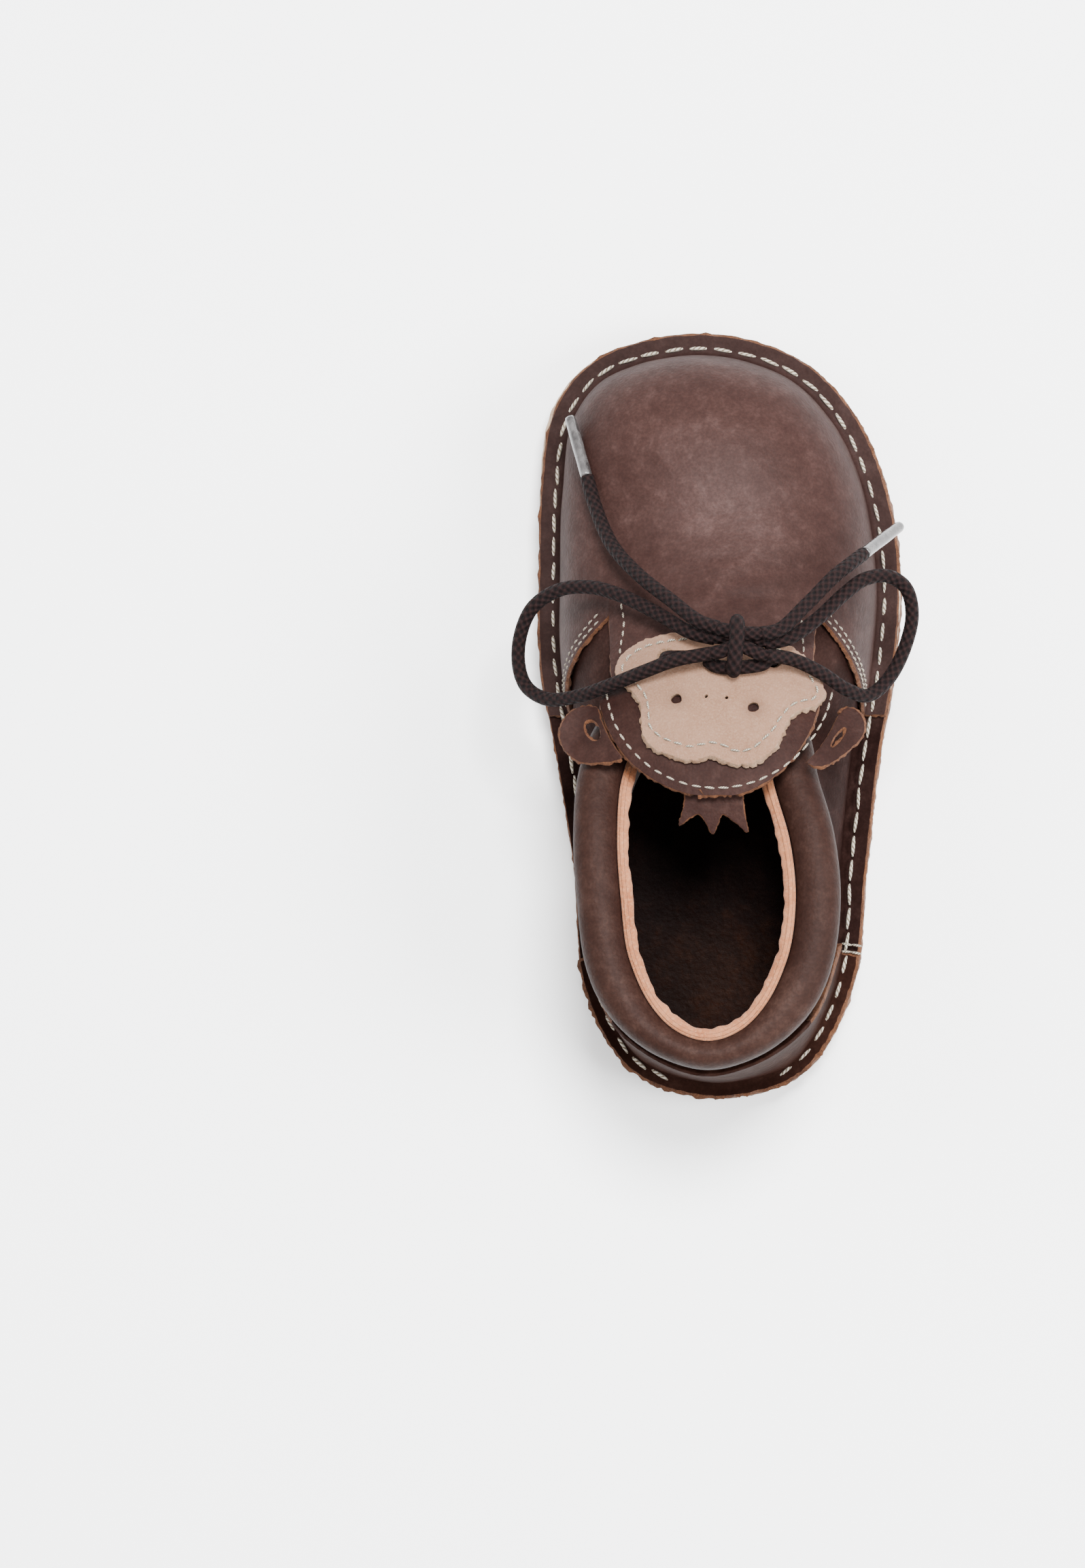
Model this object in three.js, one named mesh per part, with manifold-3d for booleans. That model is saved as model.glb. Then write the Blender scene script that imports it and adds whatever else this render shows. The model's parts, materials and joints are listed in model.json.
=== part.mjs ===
// Toddler lace-up shoe for the right foot, stitch-down construction, with an animal-face
// tongue flap. Millimetres, +X to the outer side of the foot, +Y to the toe, +Z up.
import * as THREE from "three";
import { mergeVertices } from "three/addons/utils/BufferGeometryUtils.js";
import Module from "manifold-3d";

const wasm = await Module();
wasm.setup();

// Driving dimensions of the sole and of the upper.
const soleLength = 150;
const ballWidth = 71.4;
const outsoleThickness = 4.5;
const midsoleThickness = 2.7;
const boardThickness = 1.4;
const linerThickness = 1.8;
const toeFlange = 5.4;
const heelFlange = 3.2;
const flangeEdge = 0.7;
const welterRadius = 1.2;
const upperThickness = 1.1;
const innerThickness = 1;
const liningThickness = 0.8;
const gap = 0.3;

// The ridge of the upper: heights at equal steps from the toe crown back over the instep.
const crownY = 38;
const ridgeStep = 11;
const ridgeHeights = [35.5, 39.8, 45.6, 51.6, 55.6, 57];
const throatY = 3.2;
const wallPower = 2.5;

// Padded collar.
const collarHalfHeight = 4.6;
const collarSideHalfWidth = 4.4;
const collarHeelHalfWidth = 2.9;
const coverThickness = 1;

// Animal-face flap, its hinge line, its patch and the small leather tabs on it.
const headX = 1.8;
const headY = 6.5;
const headRadius = 23.7;
const hingeY = 5;
const notchY = 18.5;
const patchThickness = 1.5;
const tabThickness = 1.2;
const tabGap = 0.6;
const laceDiameter = 2.7;
const laceHoleDiameter = 3.9;
const laceHoleY = 9.8;
const laceHoleSpread = 10.4;
const laceHoleX = 2.1;
const agletDiameter = 2.4;
const agletLength = 13.5;

const midsoleBase = outsoleThickness + gap;
const midsoleTop = midsoleBase + midsoleThickness;
const innerFlangeTop = midsoleTop + gap + innerThickness;
const flangeTop = innerFlangeTop + gap + upperThickness;
const quarterDepth = upperThickness + gap;
const stiffenerDepth = quarterDepth + innerThickness + gap;

const liningDepth = stiffenerDepth + innerThickness + gap;

const mix = THREE.MathUtils.lerp;
const ease = (value, low, high) => THREE.MathUtils.smoothstep(value, low, high);

// Sole outline: shares of the length from the heel and of the ball width across.
const soleShape = [
  [0, 0], [0.022, 0.195], [0.057, 0.277], [0.15, 0.37], [0.3, 0.406], [0.44, 0.44],
  [0.56, 0.482], [0.68, 0.498], [0.8, 0.459], [0.9, 0.364], [0.968, 0.215], [1, -0.055],
  [0.968, -0.335], [0.9, -0.456], [0.8, -0.492], [0.68, -0.5], [0.56, -0.495],
  [0.44, -0.452], [0.3, -0.406], [0.15, -0.378], [0.057, -0.287], [0.022, -0.2],
];

// Collar centre line, all at hand-set places: throat, outer side, heel, inner side.
const collarShape = [
  [-2, throatY, 41.8], [8.6, 0.6, 42.2], [14.6, -5.6, 43.6], [16.6, -14, 46], [19.8, -25, 48.6],
  [21, -37, 50], [19.4, -49, 51], [15.2, -57.8, 51.8], [8.4, -64.2, 52.4], [0, -66.8, 52.6],
  [-8.4, -64.2, 52.4], [-15.2, -57.8, 51.8], [-19.4, -49, 51], [-21.1, -37, 50], [-21.9, -24, 48.4],
  [-21, -12.2, 44.9], [-17.6, -3.9, 42.5], [-10.8, 1.6, 42],
];

function closedCurve(points) {
  return new THREE.CatmullRomCurve3(points, true, "centripetal");
}

const soleCurve = closedCurve(soleShape.map(
  ([along, across]) => new THREE.Vector3(across * ballWidth, (along - 0.5) * soleLength, 0)));
const collarCurve = closedCurve(collarShape.map(([x, y, z]) => new THREE.Vector3(x, y, z)));

function shareOfHighest(curve, direction) {
  let best = 0;
  for (let i = 1; i < 400; i++) {
    if (curve.getPointAt(i / 400).y * direction > curve.getPointAt(best).y * direction) best = i / 400;
  }
  return best;
}

const toeShare = shareOfHighest(soleCurve, 1);
const heelShare = shareOfHighest(collarCurve, -1);

// side runs from -1 (heel, by the inner side) through 0 (toe) to 1 (heel, by the outer side).
function soleAt(side, inset) {
  const share = side >= 0 ? toeShare * (1 - side) : toeShare - (1 - toeShare) * side;
  const point = soleCurve.getPointAt(share);
  const tangent = soleCurve.getTangentAt(share);
  return new THREE.Vector2(point.x - tangent.y * inset, point.y + tangent.x * inset);
}

const fanEnd = 0.28;
const throatSide = 0.585;

function flangeAt(side) {
  return mix(toeFlange, heelFlange, ease(Math.abs(side), 0.35, 0.95));
}

// Inset of the pieces that lie inside the lining.
function insideAt(side) {
  return flangeAt(side) + liningDepth + liningThickness + 2 * gap;
}

// back runs from 0 at the throat to 1 at the heel along one side of the collar.
function collarAt(side) {
  const back = (Math.abs(side) - throatSide) / (1 - throatSide);
  const share = side >= 0 ? heelShare * back : 1 - (1 - heelShare) * back;
  const centre = collarCurve.getPointAt(share);
  const tangent = collarCurve.getTangentAt(share);
  const outward = new THREE.Vector3(-tangent.y, tangent.x, 0).normalize();
  const heelward = ease(back, 0.72, 0.97);
  return { centre, outward, halfWidth: mix(collarSideHalfWidth, collarHeelHalfWidth, heelward) };
}

const ridgeCurve = new THREE.SplineCurve(
  ridgeHeights.map((z, i) => new THREE.Vector2(crownY - i * ridgeStep, z)));

function ridgeHeight(y) {
  const share = (crownY - y) / (ridgeStep * (ridgeHeights.length - 1));
  return ridgeCurve.getPoint(THREE.MathUtils.clamp(share, 0, 1)).y;
}

function ridgeAt(side) {
  const back = ease(Math.abs(side), fanEnd, throatSide) * 0.5
    + THREE.MathUtils.clamp((Math.abs(side) - fanEnd) / (throatSide - fanEnd), 0, 1) * 0.5;
  const y = mix(crownY, throatY, back);
  return new THREE.Vector3(headX * back, y, ridgeHeight(y));
}

// Height of the outer face of the flap, which the front of the upper runs into.
function flapHeight(x, y) {
  const droop = mix(4.4, 10.5, ease(y, -16, notchY));
  return ridgeHeight(y) - droop * (Math.abs(x - headX) / headRadius) ** 2.4;
}

// Outer face of the upper: rise below 0 is the sewn-down flange, 0 to 1 climbs to the top,
// over an arch at the front and straight up where plain is 1.
function upperAt(side, rise, top, plain) {
  const flange = flangeAt(side);
  if (rise < 0) {
    const turn = -rise;
    const corner = THREE.MathUtils.clamp(1 - turn, 0, 1) * Math.PI / 2;
    const inset = turn > 1
      ? mix(flange - welterRadius, flangeEdge, turn - 1)
      : flange - welterRadius * (1 - Math.sin(corner));
    const z = turn > 1 ? flangeTop : flangeTop + welterRadius * (1 - Math.cos(corner));
    const plan = soleAt(side, inset);
    return new THREE.Vector3(plan.x, plan.y, z);
  }
  const foot = soleAt(side, flange);
  const arch = 1 - Math.cos(rise * Math.PI / 2) ** (2 / wallPower);
  const across = mix(arch, rise, plain);
  const up = mix(Math.sin(rise * Math.PI / 2) ** (2 / wallPower), rise, plain);
  const base = flangeTop + welterRadius;
  return new THREE.Vector3(mix(foot.x, top.x, across), mix(foot.y, top.y, across), mix(base, top.z, up));
}

function vampAt(side, rise) {
  const point = upperAt(side, rise, ridgeAt(side), 0);
  const onFlap = ease(rise, 0.42, 0.62) * (1 - ease(point.y, hingeY + 3, notchY + 4));
  point.z = mix(point.z, flapHeight(point.x, point.y), onFlap);
  return point;
}

// The side walls end just under the padded collar, and dip under the vamp ahead of it.
function quarterAt(side, rise) {
  const collar = collarAt(Math.sign(side) * Math.max(Math.abs(side), throatSide));
  const seam = collar.centre.clone().addScaledVector(collar.outward, collar.halfWidth * 0.85 + quarterDepth);
  seam.z -= collarHalfHeight * 0.72 + 2 * (1 - ease(Math.abs(side), throatSide, throatSide + 0.14));
  const ahead = 1 - ease(Math.abs(side), throatSide - 0.13, throatSide);
  const plain = ease(Math.abs(side), throatSide + 0.02, throatSide + 0.16);
  return upperAt(side, rise, seam.lerp(ridgeAt(side), ahead), plain);
}

function liningAt(side, rise) {
  const collar = collarAt(Math.sign(side || 1) * Math.max(Math.abs(side), throatSide));
  const inside = collar.centre.clone().addScaledVector(collar.outward, -collar.halfWidth - gap);
  inside.z += collarHalfHeight * 0.55;
  const roof = ridgeAt(side);
  roof.z -= liningDepth + 1.5;
  const ahead = 1 - ease(Math.abs(side), throatSide - 0.1, throatSide);
  const foot = soleAt(side, flangeAt(side) + liningDepth);
  const top = inside.lerp(roof, ahead);
  const arch = 1 - Math.cos(rise * Math.PI / 2) ** (2 / wallPower);
  const across = mix(ease(rise, 0.08, 0.82), arch, ahead);
  const up = mix(rise, Math.sin(rise * Math.PI / 2) ** (2 / wallPower), ahead);
  return new THREE.Vector3(mix(foot.x, top.x, across), mix(foot.y, top.y, across),
    mix(midsoleTop + 2 * gap, top.z, up));
}

// A grid of points becomes one open face; coincident points are joined.
function faceFrom(columns, rows, pointAt) {
  const positions = [];
  const index = [];
  for (let i = 0; i <= columns; i++) {
    for (let j = 0; j <= rows; j++) positions.push(...pointAt(i / columns, j / rows).toArray());
  }
  for (let i = 0; i < columns; i++) {
    for (let j = 0; j < rows; j++) {
      const corner = i * (rows + 1) + j;
      index.push(corner, corner + rows + 2, corner + rows + 1, corner, corner + 1, corner + rows + 2);
    }
  }
  const face = new THREE.BufferGeometry();
  face.setAttribute("position", new THREE.Float32BufferAttribute(positions, 3));
  face.setIndex(index);
  const merged = mergeVertices(face, 1e-3);
  const kept = [];
  const order = merged.index.array;
  for (let i = 0; i < order.length; i += 3) {
    const [a, b, c] = [order[i], order[i + 1], order[i + 2]];
    if (a !== b && b !== c && c !== a) kept.push(a, b, c);
  }
  merged.setIndex(kept);
  merged.computeVertexNormals();
  return merged;
}

// Gives an open face a thickness: its outer side lies depth below the drawn face.
function thicken(face, depth, thickness) {
  const points = face.attributes.position;
  const normals = face.attributes.normal;
  const count = points.count;
  const positions = [];
  for (const offset of [depth, depth + thickness]) {
    for (let i = 0; i < count; i++) {
      const point = new THREE.Vector3().fromBufferAttribute(points, i);
      const normal = new THREE.Vector3().fromBufferAttribute(normals, i);
      positions.push(...point.addScaledVector(normal, -offset).toArray());
    }
  }
  const order = face.index.array;
  const index = [];
  const edges = new Map();
  for (let i = 0; i < order.length; i += 3) {
    const triangle = [order[i], order[i + 1], order[i + 2]];
    index.push(...triangle, triangle[2] + count, triangle[1] + count, triangle[0] + count);
    triangle.forEach((a, k) => edges.set(`${a}_${triangle[(k + 1) % 3]}`, [a, triangle[(k + 1) % 3]]));
  }
  for (const [a, b] of edges.values()) {
    if (!edges.has(`${b}_${a}`)) index.push(b, a, a + count, b, a + count, b + count);
  }
  const solid = new THREE.BufferGeometry();
  solid.setAttribute("position", new THREE.Float32BufferAttribute(positions, 3));
  solid.setIndex(index);
  return solid;
}

function flatPiece(insetAt, base, thickness) {
  const outline = [];
  for (let i = 0; i < 64; i++) outline.push(soleAt(i / 32 - 1, insetAt(i / 32 - 1)));
  const solid = new THREE.ExtrudeGeometry(new THREE.Shape(outline), { depth: thickness, bevelEnabled: false });
  return solid.translate(0, 0, base);
}

function toManifold(geometry) {
  const plain = new THREE.BufferGeometry();
  plain.setAttribute("position", geometry.attributes.position);
  if (geometry.index) plain.setIndex(geometry.index);
  const merged = mergeVertices(plain, 1e-4);
  return new wasm.Manifold(new wasm.Mesh({
    numProp: 3,
    vertProperties: new Float32Array(merged.attributes.position.array),
    triVerts: new Uint32Array(merged.index.array),
  }));
}

function subtract(geometry, cutters) {
  let solid = toManifold(geometry);
  for (const cutter of cutters) solid = solid.subtract(toManifold(cutter));
  const mesh = solid.getMesh();
  const result = new THREE.BufferGeometry();
  result.setAttribute("position", new THREE.Float32BufferAttribute(mesh.vertProperties, 3));
  result.setIndex(new THREE.Uint32BufferAttribute(mesh.triVerts, 1));
  return result;
}

function holeCutter(x, y, width, length, turn = 0) {
  const cutter = new THREE.CylinderGeometry(0.5, 0.5, 60, 16).rotateX(Math.PI / 2);
  return cutter.scale(width, length, 1).rotateZ(turn).translate(x, y, 45);
}

const laceHoles = [-1, 1].map((way) => holeCutter(
  laceHoleX + way * laceHoleSpread, laceHoleY, laceHoleDiameter, laceHoleDiameter));

// Rows of the upper: two on the flange, two round its corner, the rest up the wall.
const flangeRows = [-2, -1.35, -1, -0.5];

function riseAt(share, rows, low, high) {
  const row = Math.round(share * (rows + flangeRows.length));
  return row < flangeRows.length ? flangeRows[row] : mix(low, high, (row - flangeRows.length) / rows);
}

// Where the rear edge of the vamp crosses a row: the stitched wing, the notch, the hinge line.
const notchRise = 0.6;

function vampEdge(way, rise) {
  const wingY = mix(0, notchY, Math.max(rise, 0) / notchRise);
  const target = rise > notchRise ? hingeY : wingY;
  let [low, high] = [fanEnd, throatSide];
  for (let i = 0; i < 30; i++) {
    const middle = (low + high) / 2;
    if (vampAt(way * middle, rise).y > target) low = middle;
    else high = middle;
  }
  return way * low;
}

function vampSolid() {
  const rows = 10;
  const face = faceFrom(40, rows + flangeRows.length, (along, up) => {
    const rise = riseAt(up, rows, 0, 1);
    const medial = vampEdge(-1, rise);
    const lateral = vampEdge(1, rise);
    const side = along < 0.5 ? medial * (1 - along * 2) : lateral * (along * 2 - 1);
    return vampAt(side, rise);
  });
  return subtract(thicken(face, 0, upperThickness), laceHoles);
}

function toePuffSolid() {
  const rows = 6;
  const end = 0.385;
  const face = faceFrom(26, rows + flangeRows.length, (along, up) => vampAt(
    mix(-end, end, along), riseAt(up, rows, 0, 0.72)));
  return thicken(face, quarterDepth, innerThickness);
}

const quarterFront = 0.395;

function quarterSolid(way) {
  const rows = 8;
  const face = faceFrom(20, rows + flangeRows.length, (along, up) => {
    const side = way > 0 ? mix(quarterFront, 0.9975, along) : mix(-0.9975, -quarterFront, along);
    const top = mix(0.6, 1, ease(Math.abs(side), throatSide - 0.01, throatSide + 0.09));
    return quarterAt(side, riseAt(up, rows, 0, top));
  });
  return thicken(face, quarterDepth, innerThickness);
}

// The heel counter wraps the back; its top edge falls away diagonally to both sides.
const counterFront = 0.77;

function counterSolid() {
  const rows = 6;
  const face = faceFrom(22, rows + flangeRows.length, (along, up) => {
    const fromHeel = (along * 2 - 1) * (1 - counterFront);
    const side = fromHeel < 0 ? 1 + fromHeel : -1 + fromHeel;
    const top = mix(0.72, 0.3, ease(Math.abs(fromHeel) / (1 - counterFront), 0.1, 1));
    return quarterAt(side, riseAt(up, rows, 0, top));
  });
  return thicken(face, 0, upperThickness);
}

function heelStiffenerSolid() {
  const face = faceFrom(18, 5, (along, up) => {
    const fromHeel = (along * 2 - 1) * 0.2;
    return quarterAt(fromHeel < 0 ? 1 + fromHeel : -1 + fromHeel, mix(0.04, 0.5, up));
  });
  return thicken(face, stiffenerDepth, innerThickness);
}

function liningSolid() {
  const front = throatSide + 0.01;
  const face = faceFrom(44, 7, (along, up) => {
    const fromHeel = (along * 2 - 1) * (1 - front);
    return liningAt(fromHeel < 0 ? 1 + fromHeel : -1 + fromHeel, up);
  });
  return thicken(face, 0, liningThickness);
}

function vampLiningSolid() {
  const end = throatSide - 0.005;
  const face = faceFrom(30, 7, (along, up) => {
    const side = mix(-end, end, along);
    return liningAt(side, up * mix(0.85, 0.5, ease(Math.abs(side), 0.3, end)));
  });
  return thicken(face, 0, liningThickness);
}

// Closed ring along the collar line; section(turn) is a point [out, up] of its outline.
function collarRing(columns, outline) {
  const positions = [];
  const index = [];
  const count = outline(1).length;
  for (let i = 0; i < columns; i++) {
    const along = (i / columns) * 2 - 1;
    const side = along < 0 ? -1 - along * (1 - throatSide) : 1 - along * (1 - throatSide);
    const collar = collarAt(side);
    for (const [out, up] of outline(collar.halfWidth)) {
      const point = collar.centre.clone().addScaledVector(collar.outward, out);
      positions.push(point.x, point.y, point.z + up);
    }
  }
  for (let i = 0; i < columns; i++) {
    for (let j = 0; j < count; j++) {
      const [a, b] = [i * count + j, i * count + ((j + 1) % count)];
      const [c, d] = [((i + 1) % columns) * count + j, ((i + 1) % columns) * count + ((j + 1) % count)];
      index.push(a, d, b, a, c, d);
    }
  }
  const ring = new THREE.BufferGeometry();
  ring.setAttribute("position", new THREE.Float32BufferAttribute(positions, 3));
  ring.setIndex(index);
  return ring;
}

// The cover is a C that opens downwards, the foam fills it.
function coverOutline(halfWidth) {
  const start = -0.2 * Math.PI;
  const sweep = 1.4 * Math.PI;
  const points = [];
  for (let i = 0; i <= 10; i++) {
    const turn = start + sweep * i / 10;
    points.push([halfWidth * Math.cos(turn), collarHalfHeight * Math.sin(turn)]);
  }
  for (let i = 10; i >= 0; i--) {
    const turn = start + sweep * i / 10;
    points.push([(halfWidth - coverThickness) * Math.cos(turn),
      (collarHalfHeight - coverThickness) * Math.sin(turn)]);
  }
  return points;
}

function foamOutline(halfWidth) {
  const points = [];
  for (let i = 0; i < 10; i++) {
    const turn = i / 5 * Math.PI;
    points.push([(halfWidth - coverThickness - gap) * Math.cos(turn),
      (collarHalfHeight - coverThickness - gap) * Math.sin(turn)]);
  }
  return points;
}

function flapSolid() {
  const first = Math.asin((headY - hingeY + gap) / headRadius);
  const face = faceFrom(16, 9, (across, back) => {
    const turn = mix(first, Math.PI / 2, back);
    const x = headX + (headRadius - gap) * Math.cos(turn) * (across * 2 - 1);
    const y = headY - headRadius * Math.sin(turn);
    return new THREE.Vector3(x, y, flapHeight(x, y));
  });
  return thicken(face, 0, upperThickness);
}

// Tabs and patches are drawn as closed curves round a middle point, ring by ring.
function tabFace(points, centre, rings, heightAt) {
  const curve = closedCurve(points.map(([x, y]) => new THREE.Vector3(x, y, 0)));
  const middle = new THREE.Vector3(...centre, 0);
  return faceFrom(points.length * 3, rings, (round, ring) => {
    const edge = curve.getPoint(round === 1 ? 0 : round);
    const point = middle.clone().lerp(edge, ring);
    return point.setZ(heightAt(point.x, point.y));
  });
}

// Outline of the face patch, counter-clockwise from the forehead.
const patchOutline = [
  [1.8, 15.1], [-4, 14.9], [-9.5, 14.3], [-14.3, 12.8], [-17.7, 9.8], [-18.2, 6.9], [-15.3, 3.9],
  [-13.4, 1.6], [-12.8, -2], [-12.5, -5], [-10.6, -7.6], [-7, -9.2], [-2.7, -10.2], [1, -9.4],
  [5, -10.9], [8.6, -10.7], [11.6, -9], [14, -6.2], [15.2, -3], [17.2, -0.6], [21.2, 0.8],
  [22.4, 3], [20.6, 7], [17.4, 11], [12.8, 13.2], [7.4, 14.6],
];

function patchSolid() {
  const face = tabFace(patchOutline, [1.8, 3], 5, flapHeight);
  return thicken(face, -gap - patchThickness, patchThickness);
}

function slab(lowY, highY) {
  return new THREE.BoxGeometry(80, highY - lowY, 60).translate(0, (lowY + highY) / 2, 45);
}

const eyes = [[-6.1, 1.8], [8.8, 0.1]];
const nostrils = [[-0.3, 2.3], [3.6, 2]];

function patchFront() {
  return subtract(patchSolid(), [slab(-40, hingeY), ...laceHoles]);
}

function patchRear() {
  const eyeCutters = eyes.map(([x, y]) => holeCutter(x, y, 2.2, 1.9));
  const nostrilCutters = nostrils.map(([x, y]) => holeCutter(x, y, 0.7, 0.7));
  return subtract(patchSolid(), [slab(hingeY - gap, 40), ...eyeCutters, ...nostrilCutters]);
}

const earShapes = {
  medial: {
    points: [[-16.6, -9.4], [-19, -3], [-21.6, 0.2], [-25.4, 0.4], [-28.4, -2.4],
      [-28.6, -6.6], [-25.4, -10], [-20.4, -10.4]],
    centre: [-23.2, -5.2], hole: [-22.6, -4.1, 3.4, 4.8, 0.5],
  },
  lateral: {
    points: [[19.2, -10.6], [22.2, -11.2], [26.6, -8.4], [29.8, -4.6], [29.2, -1.2],
      [26.6, 0.2], [24.2, -2.4], [21.6, -6.8]],
    centre: [25, -5.4], hole: [25, -5.6, 2.2, 4.6, -0.6],
  },
};

function earSolid({ points, centre, hole }) {
  const face = tabFace(points, centre, 3, (x, y) => Math.max(
    flapHeight(x, y), ridgeHeight(y) - 7.4));
  const [x, y, width, length, turn] = hole;
  const head = new THREE.CylinderGeometry(headRadius + tabGap, headRadius + tabGap, 60, 48)
    .rotateX(Math.PI / 2).translate(headX, headY, 45);
  return subtract(thicken(face, 0, tabThickness), [head, holeCutter(x, y, width, length, turn)]);
}

const tuftOutline = [
  [-3.9, -14.2], [-4.4, -17.5], [-5.4, -22.7], [-1.6, -20.6], [0.9, -24.3], [2.9, -20.6],
  [7.6, -23.9], [6.9, -20], [6.4, -14.2],
];

function tuftSolid() {
  const shape = new THREE.Shape(tuftOutline.map(([x, y]) => new THREE.Vector2(x, y)));
  const solid = new THREE.ExtrudeGeometry(shape, { depth: tabThickness, bevelEnabled: false });
  return solid.translate(0, 0, flapHeight(headX, -14.2) - upperThickness - 2 * gap - tabThickness - 0.8);
}

// Lace routes: points set by hand from the knot outwards.
const laceRoutes = {
  lace_medial_loop: [
    [1.2, 13.4, 53.4], [-3.4, 14.6, 52.2], [-10, 18.4, 49], [-17.2, 22, 45.5], [-23.4, 23.8, 42],
    [-29.8, 23.3, 39], [-34.9, 20, 37], [-37.3, 14.7, 36], [-37.6, 8.9, 36.2], [-36, 4.7, 37.5],
    [-31.8, 2.2, 40.4], [-25.3, 2.7, 44.8], [-19, 4.6, 49.4], [-12.4, 7, 53.6], [-6, 9.2, 56],
    [0.6, 10.4, 56.2],
  ],
  lace_lateral_loop: [
    [11, 12.4, 53.4], [15.4, 13.4, 52.2], [20.6, 17, 49.8], [25.8, 22, 46.8], [29.8, 25.1, 44],
    [34.2, 25.8, 41.6], [37.6, 23.6, 40], [38.8, 18.5, 39], [37.2, 11.6, 39], [34.2, 5.9, 40.4],
    [30.4, 2.7, 43], [26.4, 3.8, 46.4], [21.4, 7, 50.2], [16, 9.4, 53.4], [11.4, 10, 56.2],
  ],
  lace_medial_tail: [
    [2, 15.4, 55.6], [-1.6, 16.6, 54.8], [-7.2, 20.8, 51.4], [-13.8, 26, 45.5],
    [-19.4, 32.2, 38.6], [-23, 40, 32.8], [-24.7, 45.6, 30],
  ],
  lace_lateral_tail: [
    [10.4, 14.2, 56.2], [13.8, 15, 55], [18.8, 19.8, 52], [24.2, 25.6, 47.8], [26.4, 27.5, 45.4],
    [29.5, 30.2, 40.4],
  ],
};

function tubeAlong(points, diameter) {
  const curve = new THREE.CatmullRomCurve3(points, false, "centripetal");
  const section = new THREE.Shape();
  section.absarc(0, 0, diameter / 2, 0, Math.PI * 2);
  const steps = Math.ceil(curve.getLength() / (2 * diameter));
  return new THREE.ExtrudeGeometry(section, { extrudePath: curve, steps, curveSegments: 4 });
}

function laceTube(name) {
  return tubeAlong(laceRoutes[name].map(([x, y, z]) => new THREE.Vector3(x, y, z)), laceDiameter);
}

function aglet(name) {
  const points = laceRoutes[name].map(([x, y, z]) => new THREE.Vector3(x, y, z));
  const end = points.at(-1);
  const direction = end.clone().sub(points.at(-2)).normalize();
  const middle = end.clone().addScaledVector(direction, agletLength / 2 + gap);
  const turn = new THREE.Quaternion().setFromUnitVectors(new THREE.Vector3(0, 1, 0), direction);
  const solid = new THREE.CylinderGeometry(agletDiameter / 2, agletDiameter / 2, agletLength, 12);
  return solid.applyQuaternion(turn).translate(middle.x, middle.y, middle.z);
}

// The run that goes down one hole, across under the flap and up the other.
function laceRun() {
  const [left, right] = [laceHoleX - laceHoleSpread, laceHoleX + laceHoleSpread];
  const over = flapHeight(laceHoleX, laceHoleY) + gap + patchThickness + laceDiameter / 2 + 0.1;
  const under = flapHeight(left, laceHoleY) - upperThickness - laceDiameter / 2 - 2;
  const [leftHole, rightHole] = [flapHeight(left, laceHoleY), flapHeight(right, laceHoleY)];
  const points = [
    [left + 4.8, over], [left + 2.8, over], [left + 0.9, over - 0.1],
    [left, leftHole + 0.9], [left, leftHole - 1.4], [left + 1.4, under + 0.4], [left + 4, under],
    [right - 4, under], [right - 1.4, under + 0.4], [right, rightHole - 1.4], [right, rightHole + 0.9],
    [right - 0.5, over - 0.1], [right - 1.6, over + 0.8],
  ];
  return tubeAlong(points.map(([x, z]) => new THREE.Vector3(x, laceHoleY, z)), laceDiameter);
}

const knotCentre = [6, 12.2, 55.2];

function knotSolid() {
  return new THREE.SphereGeometry(1, 14, 10).scale(3.9, 4.4, 3.6).translate(...knotCentre);
}

const leather = 0.55;
const suede = 0.9;
const group = new THREE.Group();

function add(name, geometry, colour, roughness) {
  const material = new THREE.MeshStandardMaterial({ color: colour, roughness, metalness: 0 });
  const mesh = new THREE.Mesh(geometry, material);
  mesh.name = name;
  group.add(mesh);
}

add("outsole", flatPiece(() => 0, 0, outsoleThickness), "#8a6a4e", 0.85);
add("midsole", flatPiece(() => 0.2, midsoleBase, midsoleThickness), "#d9c3a4", 0.8);
add("insole_board", flatPiece(insideAt, midsoleTop + gap, boardThickness), "#b79c78", 0.9);
add("insole_cover", flatPiece(insideAt, midsoleTop + 2 * gap + boardThickness, linerThickness),
  "#2f1a0d", 0.7);
add("vamp", vampSolid(), "#705651", leather);
add("toe_puff", toePuffSolid(), "#a98c6c", suede);
add("medial_quarter", quarterSolid(-1), "#3e2c27", leather);
add("lateral_quarter", quarterSolid(1), "#3e2c27", leather);
add("heel_counter", counterSolid(), "#62463d", leather);
add("heel_stiffener", heelStiffenerSolid(), "#a98c6c", suede);
add("quarter_lining", liningSolid(), "#98674e", suede);
add("vamp_lining", vampLiningSolid(), "#98674e", suede);
add("collar_cover", collarRing(44, coverOutline), "#6d5349", leather);
add("collar_foam", collarRing(36, foamOutline), "#e2c88e", suede);
add("flap", flapSolid(), "#624740", leather);
add("face_patch_front", patchFront(), "#c4a999", suede);
add("face_patch_rear", patchRear(), "#c4a999", suede);
add("medial_ear", earSolid(earShapes.medial), "#624740", leather);
add("lateral_ear", earSolid(earShapes.lateral), "#624740", leather);
add("hair_tuft", tuftSolid(), "#624740", leather);
add("lace_knot", knotSolid(), "#2a1a18", suede);
add("lace_run", laceRun(), "#2a1a18", suede);
for (const name of Object.keys(laceRoutes)) add(name, laceTube(name), "#2a1a18", suede);
add("medial_aglet", aglet("lace_medial_tail"), "#8d8882", 0.3);
add("lateral_aglet", aglet("lace_lateral_tail"), "#8d8882", 0.3);

export default group;
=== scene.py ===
import json
import math

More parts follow.
